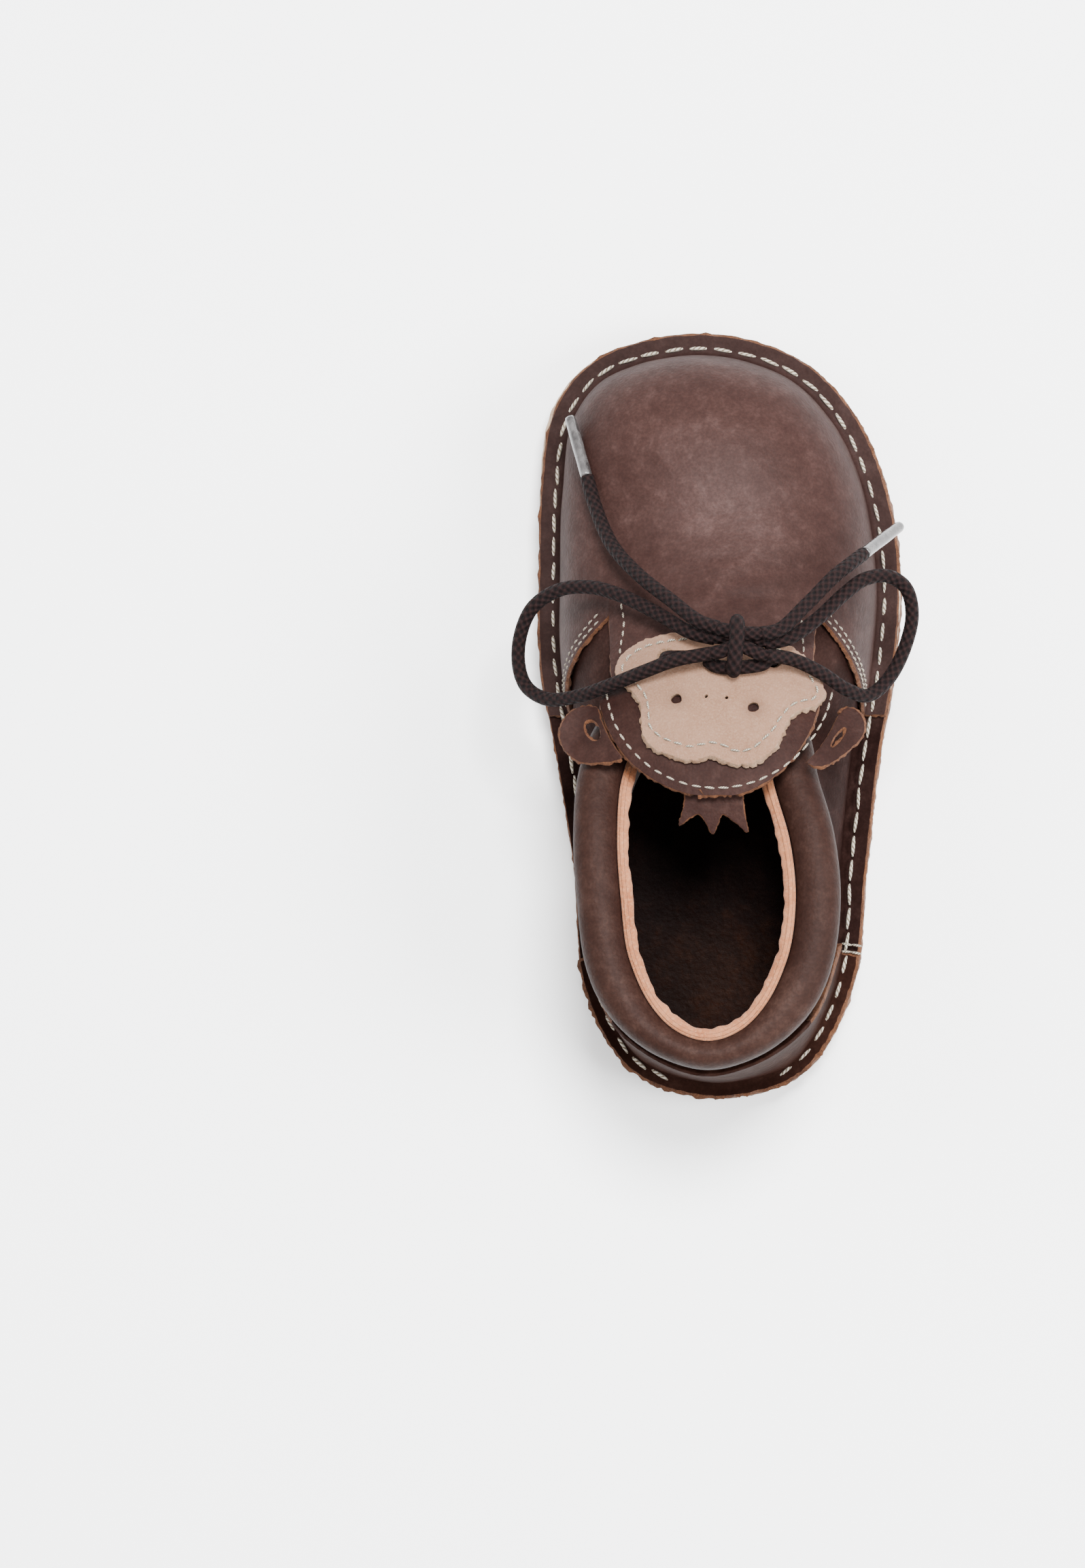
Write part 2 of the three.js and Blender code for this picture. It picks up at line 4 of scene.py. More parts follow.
import bmesh
import bpy
import numpy as np
from mathutils import Matrix, Vector, noise
from mathutils.geometry import delaunay_2d_cdt
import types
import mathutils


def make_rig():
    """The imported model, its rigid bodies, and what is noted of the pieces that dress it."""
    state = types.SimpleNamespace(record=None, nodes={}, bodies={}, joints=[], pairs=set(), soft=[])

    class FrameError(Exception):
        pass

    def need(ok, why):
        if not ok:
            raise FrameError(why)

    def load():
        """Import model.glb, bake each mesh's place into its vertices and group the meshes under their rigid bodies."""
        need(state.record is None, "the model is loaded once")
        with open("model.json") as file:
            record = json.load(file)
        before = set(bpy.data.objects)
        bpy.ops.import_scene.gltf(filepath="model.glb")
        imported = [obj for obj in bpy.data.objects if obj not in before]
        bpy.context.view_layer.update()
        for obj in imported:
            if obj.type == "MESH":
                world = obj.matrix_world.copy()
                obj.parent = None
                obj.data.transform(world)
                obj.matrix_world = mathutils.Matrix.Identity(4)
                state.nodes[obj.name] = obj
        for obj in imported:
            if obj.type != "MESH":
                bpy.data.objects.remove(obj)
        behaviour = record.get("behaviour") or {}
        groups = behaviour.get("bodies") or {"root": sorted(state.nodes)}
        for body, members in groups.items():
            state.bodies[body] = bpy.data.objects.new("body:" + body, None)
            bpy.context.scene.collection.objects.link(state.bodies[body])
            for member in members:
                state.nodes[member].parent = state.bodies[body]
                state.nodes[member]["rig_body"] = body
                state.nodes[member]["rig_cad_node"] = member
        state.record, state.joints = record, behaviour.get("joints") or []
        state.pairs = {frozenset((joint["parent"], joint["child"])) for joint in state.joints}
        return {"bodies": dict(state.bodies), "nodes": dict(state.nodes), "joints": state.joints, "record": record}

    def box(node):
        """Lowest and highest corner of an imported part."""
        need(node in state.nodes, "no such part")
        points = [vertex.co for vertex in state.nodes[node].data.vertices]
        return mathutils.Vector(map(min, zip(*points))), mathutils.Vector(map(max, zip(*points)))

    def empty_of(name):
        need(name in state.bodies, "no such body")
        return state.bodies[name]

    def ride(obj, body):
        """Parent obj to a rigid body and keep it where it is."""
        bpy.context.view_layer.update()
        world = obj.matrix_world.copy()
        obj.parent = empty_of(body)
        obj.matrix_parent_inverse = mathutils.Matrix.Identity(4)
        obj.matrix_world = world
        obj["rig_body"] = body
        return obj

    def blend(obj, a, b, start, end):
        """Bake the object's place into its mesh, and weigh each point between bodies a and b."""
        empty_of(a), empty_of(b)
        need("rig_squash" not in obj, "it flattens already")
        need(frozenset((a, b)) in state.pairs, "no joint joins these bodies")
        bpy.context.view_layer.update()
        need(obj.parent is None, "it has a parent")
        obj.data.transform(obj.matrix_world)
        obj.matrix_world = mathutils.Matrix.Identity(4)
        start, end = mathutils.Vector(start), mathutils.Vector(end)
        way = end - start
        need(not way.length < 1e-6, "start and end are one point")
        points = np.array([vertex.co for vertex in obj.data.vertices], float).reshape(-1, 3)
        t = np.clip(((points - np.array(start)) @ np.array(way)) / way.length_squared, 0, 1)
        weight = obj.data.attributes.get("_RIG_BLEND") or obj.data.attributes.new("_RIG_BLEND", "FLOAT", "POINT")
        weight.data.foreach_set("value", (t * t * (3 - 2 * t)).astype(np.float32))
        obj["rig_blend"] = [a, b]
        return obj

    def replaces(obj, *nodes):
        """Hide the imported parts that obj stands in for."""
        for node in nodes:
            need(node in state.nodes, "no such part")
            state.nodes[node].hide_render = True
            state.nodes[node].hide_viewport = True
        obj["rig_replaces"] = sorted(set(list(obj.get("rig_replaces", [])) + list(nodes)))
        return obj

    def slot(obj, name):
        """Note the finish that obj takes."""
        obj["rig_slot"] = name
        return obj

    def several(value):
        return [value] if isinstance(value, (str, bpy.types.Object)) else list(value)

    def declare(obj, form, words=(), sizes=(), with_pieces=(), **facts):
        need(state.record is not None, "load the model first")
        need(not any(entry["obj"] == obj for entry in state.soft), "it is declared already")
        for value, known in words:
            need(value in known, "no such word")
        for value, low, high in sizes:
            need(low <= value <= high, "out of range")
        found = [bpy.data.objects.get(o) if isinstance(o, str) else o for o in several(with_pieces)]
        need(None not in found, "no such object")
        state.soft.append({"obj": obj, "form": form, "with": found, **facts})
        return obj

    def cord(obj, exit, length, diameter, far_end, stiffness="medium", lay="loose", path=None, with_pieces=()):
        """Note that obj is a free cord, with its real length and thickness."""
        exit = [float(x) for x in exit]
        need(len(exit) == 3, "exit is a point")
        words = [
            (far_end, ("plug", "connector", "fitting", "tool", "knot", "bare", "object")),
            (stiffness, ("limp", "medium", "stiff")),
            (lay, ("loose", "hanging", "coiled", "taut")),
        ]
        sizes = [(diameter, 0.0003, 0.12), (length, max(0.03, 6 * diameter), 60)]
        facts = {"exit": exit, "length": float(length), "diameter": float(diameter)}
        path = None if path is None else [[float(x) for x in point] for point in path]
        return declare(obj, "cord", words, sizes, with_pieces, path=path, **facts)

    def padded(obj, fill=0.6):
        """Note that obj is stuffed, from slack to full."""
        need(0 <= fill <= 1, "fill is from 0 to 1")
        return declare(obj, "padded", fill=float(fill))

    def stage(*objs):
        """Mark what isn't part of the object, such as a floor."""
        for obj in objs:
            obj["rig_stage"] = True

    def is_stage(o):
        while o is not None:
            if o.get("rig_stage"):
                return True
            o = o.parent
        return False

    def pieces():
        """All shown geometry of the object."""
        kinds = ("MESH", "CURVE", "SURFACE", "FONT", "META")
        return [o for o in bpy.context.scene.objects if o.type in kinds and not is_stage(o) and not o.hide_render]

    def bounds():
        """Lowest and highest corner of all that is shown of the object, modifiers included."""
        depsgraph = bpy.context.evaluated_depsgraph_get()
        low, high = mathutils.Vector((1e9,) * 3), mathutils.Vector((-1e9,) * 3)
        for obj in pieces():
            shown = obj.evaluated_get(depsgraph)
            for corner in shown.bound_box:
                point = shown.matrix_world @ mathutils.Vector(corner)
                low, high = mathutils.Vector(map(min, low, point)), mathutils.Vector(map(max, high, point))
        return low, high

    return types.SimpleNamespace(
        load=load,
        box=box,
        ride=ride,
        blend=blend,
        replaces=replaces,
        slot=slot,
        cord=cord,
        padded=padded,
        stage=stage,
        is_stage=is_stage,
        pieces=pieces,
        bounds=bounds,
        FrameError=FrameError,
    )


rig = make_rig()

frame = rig.load()
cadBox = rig.bounds()
mm = 0.001
noise.seed_set(11)  # without it the ragged edges change from run to run

# Sizes that every leather piece shares, in millimetres.
soleBox = [np.array(corner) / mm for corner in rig.box("outsole")]
shoe = {
    "length": soleBox[1][1] - soleBox[0][1],
    "ballWidth": (soleBox[1][0] - soleBox[0][0]) * 1.0015,
    "gap": 0.3,
    "leather": 1.1,
    "inner": 1.0,
    "lining": 0.8,
    "toeFlange": 4.9,
    "heelFlange": 3.2,
    "flangeEdge": 0.7,
    "corner": 1.2,
    "flangeTop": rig.box("vamp")[0][2] / mm + 1.1,
    "midsoleTop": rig.box("midsole")[1][2] / mm,
    "crownY": 38,
    "ridgeStep": 11,
    "ridgeHeights": [35.5, 39.8, 45.6, 51.6, 55.6, 57],
    "throatY": 3.2,
    "wallPower": 2.5,
    "fanEnd": 0.28,
    "throatSide": 0.585,
    "headX": 1.8,
    "headY": 6.5,
    "headRadius": 23.7,
    "hingeY": 5,
    "notchY": 18.5,
    "notchRise": 0.6,
    "collarHeight": 4.6,
    "collarSide": 4.4,
    "collarHeel": 2.9,
}
quarterDepth = shoe["leather"] + shoe["gap"]
stiffenerDepth = quarterDepth + shoe["inner"] + shoe["gap"]
liningDepth = stiffenerDepth + shoe["inner"] + shoe["gap"]

soleShape = [
    [0, 0], [0.022, 0.195], [0.057, 0.277], [0.15, 0.37], [0.3, 0.406], [0.44, 0.44],
    [0.56, 0.482], [0.68, 0.498], [0.8, 0.459], [0.9, 0.364], [0.968, 0.215], [1, -0.055],
    [0.968, -0.335], [0.9, -0.456], [0.8, -0.492], [0.68, -0.5], [0.56, -0.495],
    [0.44, -0.452], [0.3, -0.406], [0.15, -0.378], [0.057, -0.287], [0.022, -0.2],
]
collarShape = [
    [-2, 3.2, 41.8], [8.6, 0.6, 42.2], [14.6, -5.6, 43.6], [16.6, -14, 46], [19.8, -25, 48.6],
    [21, -37, 50], [19.4, -49, 51], [15.2, -57.8, 51.8], [8.4, -64.2, 52.4], [0, -66.8, 52.6],
    [-8.4, -64.2, 52.4], [-15.2, -57.8, 51.8], [-19.4, -49, 51], [-21.1, -37, 50], [-21.9, -24, 48.4],
    [-21, -12.2, 44.9], [-17.6, -3.9, 42.5], [-10.8, 1.6, 42],
]
laceRoutes = {
    "medialLoop": [
        [1.2, 13.4, 53.4], [-3.4, 14.6, 52.2], [-10, 18.4, 49], [-17.2, 22, 45.5],
        [-23.4, 23.8, 42], [-29.8, 23.3, 39], [-34.9, 20, 37], [-37.3, 14.7, 36],
        [-37.6, 8.9, 36.2], [-36, 4.7, 37.5], [-31.8, 2.2, 40.4], [-25.3, 2.7, 44.8],
        [-19, 4.6, 49.4], [-12.4, 7, 53.6], [-6, 9.2, 56], [0.6, 10.4, 56.2],
    ],
    "lateralLoop": [
        [11, 12.4, 53.4], [15.4, 13.4, 52.2], [20.6, 17, 49.8], [25.8, 22, 46.8],
        [29.8, 25.1, 44], [34.2, 25.8, 41.6], [37.6, 23.6, 40], [38.8, 18.5, 39],
        [37.2, 11.6, 39], [34.2, 5.9, 40.4], [30.4, 2.7, 43], [26.4, 3.8, 46.4], [21.4, 7, 50.2],
        [16, 9.4, 53.4], [11.4, 10, 56.2],
    ],
    "medialTail": [
        [2, 15.4, 55.6], [-1.6, 16.6, 54.8], [-7.2, 20.8, 51.4], [-13.8, 26, 45.5],
        [-19.4, 32.2, 38.6], [-23, 40, 32.8], [-24.7, 45.6, 30],
    ],
    "lateralTail": [
        [10.4, 14.2, 56.2], [13.8, 15, 55], [18.8, 19.8, 52], [24.2, 25.6, 47.8],
        [26.4, 27.5, 45.4], [29.5, 30.2, 40.4],
    ],
}
laceDiameter = 2.7
knotCentre = np.array([6, 12.2, 55.2])


def ease(value, low, high):
    share = np.clip((np.asarray(value, float) - low) / (high - low), 0, 1)
    return share * share * (3 - 2 * share)


def mix(a, b, share):
    return a + (b - a) * share


class Path:
    # A smooth line through points, walked by share of its length.
    def __init__(self, points, closed=False, steps=40):
        spots = np.array(points, float)
        count = len(spots)
        pieces = []
        for i in range(count if closed else count - 1):
            one, two = spots[i], spots[(i + 1) % count]
            before = spots[i - 1] if closed or i > 0 else 2 * one - two
            after = spots[(i + 2) % count] if closed or i + 2 < count else 2 * two - one
            d0, d1, d2 = (max(np.linalg.norm(a - b), 1e-9) ** 0.5
                          for a, b in ((before, one), (one, two), (two, after)))
            m1 = ((one - before) / d0 - (two - before) / (d0 + d1)) * d1 + two - one
            m2 = ((after - two) / d2 - (after - one) / (d1 + d2)) * d1 + two - one
            t = np.linspace(0, 1, steps, endpoint=False)[:, None]
            cube = 2 * one - 2 * two + m1 + m2
            square = -3 * one + 3 * two - 2 * m1 - m2
            pieces.append(cube * t ** 3 + square * t ** 2 + m1 * t + one)
        pieces.append(spots[:1] if closed else spots[-1:])
        self.points = np.vstack(pieces)
        self.closed = closed
        walked = np.cumsum(np.linalg.norm(np.diff(self.points, axis=0), axis=1))
        self.length = walked[-1]
        self.shares = np.concatenate([[0], walked / walked[-1]])

    def at(self, share):
        return np.stack([np.interp(share, self.shares, axis) for axis in self.points.T], -1)

    def along(self, share):
        step = 0.002
        ahead, behind = np.asarray(share) + step, np.asarray(share) - step
        if self.closed:
            ahead, behind = np.mod(ahead, 1 + 1e-12), np.mod(behind, 1 + 1e-12)
        way = self.at(ahead) - self.at(behind)
        return way / np.linalg.norm(way, axis=-1, keepdims=True)


solePath = Path([[across * shoe["ballWidth"], (along - 0.5) * shoe["length"]]
                 for along, across in soleShape], True)
collarPath = Path(collarShape, True)
toeShare = solePath.shares[np.argmax(solePath.points[:, 1])]
heelShare = collarPath.shares[np.argmin(collarPath.points[:, 1])]


def soleAt(side, inset):
    side = np.asarray(side, float)
    share = np.where(side >= 0, toeShare * (1 - side), toeShare - (1 - toeShare) * side)
    spot = solePath.at(share)
    way = solePath.along(share)
    return np.stack([spot[..., 0] - way[..., 1] * inset, spot[..., 1] + way[..., 0] * inset], -1)


def flangeAt(side):
    return mix(shoe["toeFlange"], shoe["heelFlange"], ease(np.abs(side), 0.35, 0.95))


def insideAt(side):
    return flangeAt(side) + liningDepth + shoe["lining"] + 2 * shoe["gap"]


def collarAt(side):
    side = np.asarray(side, float)
    back = (np.abs(side) - shoe["throatSide"]) / (1 - shoe["throatSide"])
    share = np.where(side >= 0, heelShare * back, 1 - (1 - heelShare) * back)
    centre = collarPath.at(share)
    way = collarPath.along(share)
    outward = np.stack([-way[..., 1], way[..., 0], np.zeros_like(back)], -1)
    outward /= np.linalg.norm(outward, axis=-1, keepdims=True)
    half = mix(shoe["collarSide"], shoe["collarHeel"], ease(back, 0.72, 0.97))
    return centre, outward, half


ridgePath = Path([[shoe["crownY"] - i * shoe["ridgeStep"], z] for i, z in enumerate(shoe["ridgeHeights"])])


def ridgeHeight(y):
    line = ridgePath.points[::-1]
    return np.interp(y, line[:, 0], line[:, 1])


def ridgeAt(side):
    reach = np.abs(np.asarray(side, float))
    plain = np.clip((reach - shoe["fanEnd"]) / (shoe["throatSide"] - shoe["fanEnd"]), 0, 1)
    back = (ease(reach, shoe["fanEnd"], shoe["throatSide"]) + plain) / 2
    y = mix(shoe["crownY"], shoe["throatY"], back)
    return np.stack([shoe["headX"] * back, y, ridgeHeight(y)], -1)


def flapHeight(x, y):
    droop = mix(4.4, 10.5, ease(y, -16, shoe["notchY"]))
    return ridgeHeight(y) - droop * (np.abs(x - shoe["headX"]) / shoe["headRadius"]) ** 2.4


# Outer face of the upper; rise below 0 is the sewn-down flange, 0 to 1 climbs to the top.
def upperAt(side, rise, top, plain):
    flange = flangeAt(side)
    turn = -rise
    bend = np.clip(1 - turn, 0, 1) * math.pi / 2
    inset = np.where(turn > 1, mix(flange - shoe["corner"], shoe["flangeEdge"], turn - 1),
                     flange - shoe["corner"] * (1 - np.sin(bend)))
    flat = soleAt(side, inset)
    flatHeight = np.where(turn > 1, shoe["flangeTop"],
                          shoe["flangeTop"] + shoe["corner"] * (1 - np.cos(bend)))
    foot = soleAt(side, flange)
    climb = np.clip(rise, 0, 1) * math.pi / 2
    across = mix(1 - np.cos(climb) ** (2 / shoe["wallPower"]), np.clip(rise, 0, 1), plain)
    up = mix(np.sin(climb) ** (2 / shoe["wallPower"]), np.clip(rise, 0, 1), plain)
    base = shoe["flangeTop"] + shoe["corner"]
    low = rise < 0
    x = np.where(low, flat[..., 0], mix(foot[..., 0], top[..., 0], across))
    y = np.where(low, flat[..., 1], mix(foot[..., 1], top[..., 1], across))
    z = np.where(low, flatHeight, mix(base, top[..., 2], up))
    return np.stack([x, y, z], -1)


def vampAt(side, rise):
    spot = upperAt(side, rise, ridgeAt(side), 0)
    onFlap = ease(rise, 0.42, 0.62) * (1 - ease(spot[..., 1], shoe["hingeY"] + 3, shoe["notchY"] + 4))
    spot[..., 2] = mix(spot[..., 2], flapHeight(spot[..., 0], spot[..., 1]), onFlap)
    return spot


def quarterAt(side, rise):
    throat = shoe["throatSide"]
    held = np.sign(side) * np.maximum(np.abs(side), throat)
    centre, outward, half = collarAt(held)
    seam = centre + outward * (half * 0.85 + quarterDepth)[..., None]
    seam[..., 2] -= shoe["collarHeight"] * 0.72 + 2 * (1 - ease(np.abs(side), throat, throat + 0.14))
    ahead = (1 - ease(np.abs(side), throat - 0.13, throat))[..., None]
    plain = ease(np.abs(side), throat + 0.02, throat + 0.16)
    return upperAt(side, rise, mix(seam, ridgeAt(side), ahead), plain)


def liningAt(side, rise):
    throat = shoe["throatSide"]
    held = np.sign(side) * np.maximum(np.abs(side), throat)
    centre, outward, half = collarAt(held)
    inside = centre - outward * (half + shoe["gap"])[..., None]
    inside[..., 2] += shoe["collarHeight"] * 0.55
    foot = soleAt(side, flangeAt(side) + liningDepth)
    across = ease(rise, 0.08, 0.82)
    return np.stack([mix(foot[..., 0], inside[..., 0], across), mix(foot[..., 1], inside[..., 1], across),
                     mix(shoe["midsoleTop"] + 2 * shoe["gap"], inside[..., 2], rise)], -1)


def wander(points, size, seed):
    return np.array([noise.noise(Vector(p) / size + Vector((seed, seed * 0.7, 0))) for p in points])


def meshObject(name, points, faces, smooth=True):
    mesh = bpy.data.meshes.new(name)
    mesh.from_pydata([tuple(p) for p in np.asarray(points) * mm], [], [list(map(int, f)) for f in faces])
    mesh.polygons.foreach_set("use_smooth", [smooth] * len(mesh.polygons))
    thing = bpy.data.objects.new(name, mesh)
    bpy.context.scene.collection.objects.link(thing)
    return thing


def gridFaces(columns, rows, offset=0):
    corner = (np.arange(columns)[:, None] * (rows + 1) + np.arange(rows)[None, :]).ravel() + offset
    return np.stack([corner, corner + 1, corner + rows + 2, corner + rows + 1], -1)


def sheetFrom(name, grids):
    # Each grid is an array of points [column, row]; shared edges are joined.
    points, faces, start = [], [], 0
    for grid in grids:
        columns, rows = grid.shape[0] - 1, grid.shape[1] - 1
        points.append(grid.reshape(-1, 3))
        faces.append(gridFaces(columns, rows, start))
        start += points[-1].shape[0]
    thing = meshObject(name, np.vstack(points), np.vstack(faces))
    work = bmesh.new()
    work.from_mesh(thing.data)
    bmesh.ops.remove_doubles(work, verts=work.verts, dist=0.02 * mm)
    bmesh.ops.dissolve_degenerate(work, edges=work.edges, dist=0.005 * mm)
    work.to_mesh(thing.data)
    work.free()
    return thing


def finishMesh(thing):
    graph = bpy.context.evaluated_depsgraph_get()
    graph.update()
    done = bpy.data.meshes.new_from_object(thing.evaluated_get(graph))
    thing.modifiers.clear()
    old = thing.data
    thing.data = done
    bpy.data.meshes.remove(old)
    done.polygons.foreach_set("use_smooth", [True] * len(done.polygons))
    return thing


def wallRows(top, count):
    # Row shares from the flange's edge (-2) round its corner (0) and up the wall.
    return np.concatenate([np.linspace(-2, -1, 5, endpoint=False), np.linspace(-1, 0, 6, endpoint=False),
                           np.linspace(0, top, count + 1)])


def roundHeel(front, columns):
    # From the lateral side round the heel to the medial side, with how far round each column is.
    share = np.linspace(-1, 1, columns + 1)
    fromHeel = share * (1 - front)
    return share, np.where(fromHeel < 0, 1 + fromHeel, -1 + fromHeel)


def roundCollar(count):
    along = np.linspace(-1, 1, count, endpoint=False)
    turn = along * (1 - shoe["throatSide"])
    return np.where(along < 0, -1 - turn, 1 - turn)


def thicken(thing, thickness, edge=0.22, materials=(), rimMaterial=0):
    for material in materials:
        thing.data.materials.append(material)
    wall = thing.modifiers.new("thickness", "SOLIDIFY")
    wall.thickness = thickness * mm
    wall.offset = -1
    wall.use_even_offset = False
    wall.material_offset_rim = rimMaterial
    if edge:
        bevel = thing.modifiers.new("cutEdge", "BEVEL")
        bevel.width = edge * mm
        bevel.segments = 2
        bevel.limit_method = "ANGLE"
        bevel.angle_limit = math.radians(50)
    return finishMesh(thing)


view = {"lean": math.radians(3.5), "back": math.radians(1.6), "distance": 3.0, "span": 0.3075,
        "aim": (-0.0352, -0.0131, 0), "sensor": 24, "reach": 20}


def makeCamera():
    data = bpy.data.cameras.new("camera")
    thing = bpy.data.objects.new("camera", data)
    bpy.context.scene.collection.objects.link(thing)
    way = Vector((math.tan(view["lean"]), -math.tan(view["back"]), 1)).normalized()
    thing.location = Vector(view["aim"]) + way * view["distance"]
    up = Vector((0, 1, 0))
    right = up.cross(way).normalized()
    top = way.cross(right)
    thing.rotation_euler = Matrix((right, top, way)).transposed().to_euler()
    data.sensor_fit = "VERTICAL"
    data.sensor_height = view["sensor"]
    data.lens = data.sensor_height * view["distance"] / view["span"]
    data.clip_end = view["reach"]
    bpy.context.scene.camera = thing


makeCamera()
print("camera set")


def lamp(name, place, size, power):
    data = bpy.data.lights.new(name, "AREA")
    data.shape = "DISK"
    data.size = size
    data.energy = power
    thing = bpy.data.objects.new(name, data)
    bpy.context.scene.collection.objects.link(thing)
    thing.location = place
    thing.rotation_euler = Vector(place).to_track_quat("Z", "Y").to_euler()


studio = {
    "lamps": [("overhead", (0.2, 0.45, 1.4), 0.45, 72), ("leftSoft", (-1.1, 0.3, 1.2), 0.8, 8),
              ("rightSoft", (1.1, -0.2, 1.1), 0.8, 44)],
    "sky": 1.6, "floorSize": 3.0,
}


def makeStudio():
    for name, place, size, power in studio["lamps"]:
        lamp(name, place, size, power)
    world = bpy.data.worlds.new("studio")
    world.use_nodes = True
    background = world.node_tree.nodes["Background"]
    background.inputs["Color"].default_value = (0.99, 0.995, 1, 1)
    background.inputs["Strength"].default_value = studio["sky"]
    bpy.context.scene.world = world
    half = studio["floorSize"] * 500
    floor = meshObject("floor", [[-half, -half, 0], [half, -half, 0], [half, half, 0], [-half, half, 0]],
                       [[0, 1, 2, 3]], False)
    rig.stage(floor)
    return floor


class Value:
    # Wraps a number socket, so that sums on it add Math nodes.
    def __init__(self, finish, socket):
        self.finish = finish
        self.socket = socket

    def sum(self, operation, *parts):
        return Value(self.finish, self.finish.node("Math", {"operation": operation}, dict(enumerate(parts))))

    def __add__(self, other):
        return self.sum("ADD", self, other)

    def __radd__(self, other):
        return self.sum("ADD", other, self)

    def __sub__(self, other):
        return self.sum("SUBTRACT", self, other)

    def __rsub__(self, other):
        return self.sum("SUBTRACT", other, self)

    def __mul__(self, other):
        return self.sum("MULTIPLY", self, other)

    def __rmul__(self, other):
        return self.sum("MULTIPLY", other, self)

    def __pow__(self, other):
        return self.sum("POWER", self, other)

    def sine(self):
        return self.sum("SINE", self)

    def between(self, low, high):
        ranged = self.finish.node("MapRange", {"interpolation_type": "SMOOTHSTEP"},
                                  {"Value": self, "From Min": low, "From Max": high})
        return Value(self.finish, ranged)


class Finish:
    def __init__(self, name, roughness=0.5, specular=0.5):
        self.material = bpy.data.materials.new(name)
        self.material.use_nodes = True
        self.tree = self.material.node_tree
        self.shader = self.tree.nodes["Principled BSDF"]
        self.shader.inputs["Roughness"].default_value = roughness
        self.shader.inputs["Specular IOR Level"].default_value = specular

    def node(self, kind, settings, inputs, output=0):
        made = self.tree.nodes.new("ShaderNode" + kind)
        for key, value in settings.items():
            setattr(made, key, value)
        for key, value in inputs.items():
            self.plug(made.inputs[key], value)
        return made.outputs[output]

    def plug(self, socket, value):
        if isinstance(value, Value):
            value = value.socket
        if isinstance(value, bpy.types.NodeSocket):
            self.tree.links.new(value, socket)
        else:
            socket.default_value = value

    def place(self, stretch=(1, 1, 1)):
        spot = self.node("TexCoord", {}, {}, "Object")
        return self.node("Mapping", {}, {"Vector": spot, "Scale": stretch})

    def noise(self, size, detail=3, roughness=0.55, at=None, distortion=0):
        made = self.node("TexNoise", {}, {"Vector": at or self.place(), "Scale": 1000 / size, "Detail": detail,
                                          "Roughness": roughness, "Distortion": distortion})
        return Value(self, made)

    def cells(self, size):
        made = self.node("TexVoronoi", {"feature": "F1"}, {"Vector": self.place(), "Scale": 1000 / size})
        return Value(self, made)

    def attribute(self, name):
        return Value(self, self.node("Attribute", {"attribute_name": name}, {}, "Fac"))

    def blendColour(self, share, one, two):
        return self.node("Mix", {"data_type": "RGBA"}, {"Factor": share, 6: one, 7: two}, 2)

    def colour(self, value):
        self.plug(self.shader.inputs["Base Color"], value)

    def rough(self, value):
        self.plug(self.shader.inputs["Roughness"], value)

    def bump(self, *layers):
        # Each layer is a height and its depth in millimetres; layers follow one another.
        normal = None
        for height, depth in layers:
            inputs = {"Height": height, "Strength": 1, "Distance": depth * mm}
            if normal:
                inputs["Normal"] = normal
            normal = self.node("Bump", {}, inputs)
        self.plug(self.shader.inputs["Normal"], normal)


def paint(red, green, blue, depth=0.46):
    # A swatch colour as the light it stands for, deepened for the bright studio.
    return tuple(depth * ((c / 255 / 12.92) if c <= 10 else ((c / 255 + 0.055) / 1.055) ** 2.4)
                 for c in (red, green, blue)) + (1,)


leatherKinds = {
    "upperLeather": {"base": (104, 73, 67), "dark": (76, 48, 43), "light": (126, 96, 91), "grain": 0.55,
                     "depth": 0.235},
    "headLeather": {"base": (88, 57, 50), "dark": (64, 36, 31), "light": (106, 74, 66), "grain": 0.5},
    "quarterLeather": {"base": (70, 45, 41), "dark": (44, 25, 21), "light": (98, 72, 66), "grain": 0.55,
                       "shine": 0.015, "depth": 0.26},
    "counterLeather": {"base": (84, 54, 45), "dark": (58, 33, 26), "light": (104, 73, 62), "grain": 0.6,
                       "shine": 0.01, "depth": 0.26},
    "collarLeather": {"base": (88, 58, 49), "dark": (64, 37, 30), "light": (108, 78, 68), "grain": 0.6},
    "insoleLeather": {"base": (34, 9, 3), "dark": (20, 3, 1), "light": (62, 30, 12), "grain": 0.7,
                      "shine": 0.04},
}


def leatherFinish(name, base, dark, light, grain, shine=0.09, depth=0.215):
    # Pull-up leather: cloudy colour, fine pebbled grain; painted shade darkens it in grooves and under rolls, painted
    # light lifts it on tops and crowns.
    made = Finish(name, 0.5, shine)
    cloud = made.noise(17, 4, 0.55)
    mottle = made.noise(2.6, 5, 0.65)
    pores = made.cells(grain * 1.6)
    fine = made.noise(grain, 3, 0.6)
    worn = made.attribute("worn")
    pressed = made.attribute("pressed")
    tone = (cloud * 0.75 + mottle * 0.55 - 0.12).between(0.25, 0.78)
    ground = made.blendColour(tone, paint(*dark, depth), paint(*base, depth))
    # Painted light lifts the colour towards the light tone where the light mask is set.
    highs = ((mottle * 0.6 + cloud * 0.5).between(0.52, 0.78) * 0.5 + worn * 0.55).between(0, 1)
    ground = made.blendColour(highs, ground, paint(*light, depth))
    ground = made.blendColour(fine.between(0.35, 0.62) * 0.28, ground, paint(*[c * 0.62 for c in dark], depth))
    # Painted shade: the deepest tone where the shade mask is set.
    ground = made.blendColour(pressed * 0.85, ground, paint(*[c * 0.55 for c in dark], depth))
    made.colour(ground)
    made.rough(0.66 - worn * 0.1 - mottle * 0.12 + pressed * 0.12)
    made.bump((cloud, 0.5), (pores ** 0.6, 0.05), (fine, 0.08), (mottle, 0.12))
    made.shader.inputs["IOR"].default_value = 1.38
    return made.material


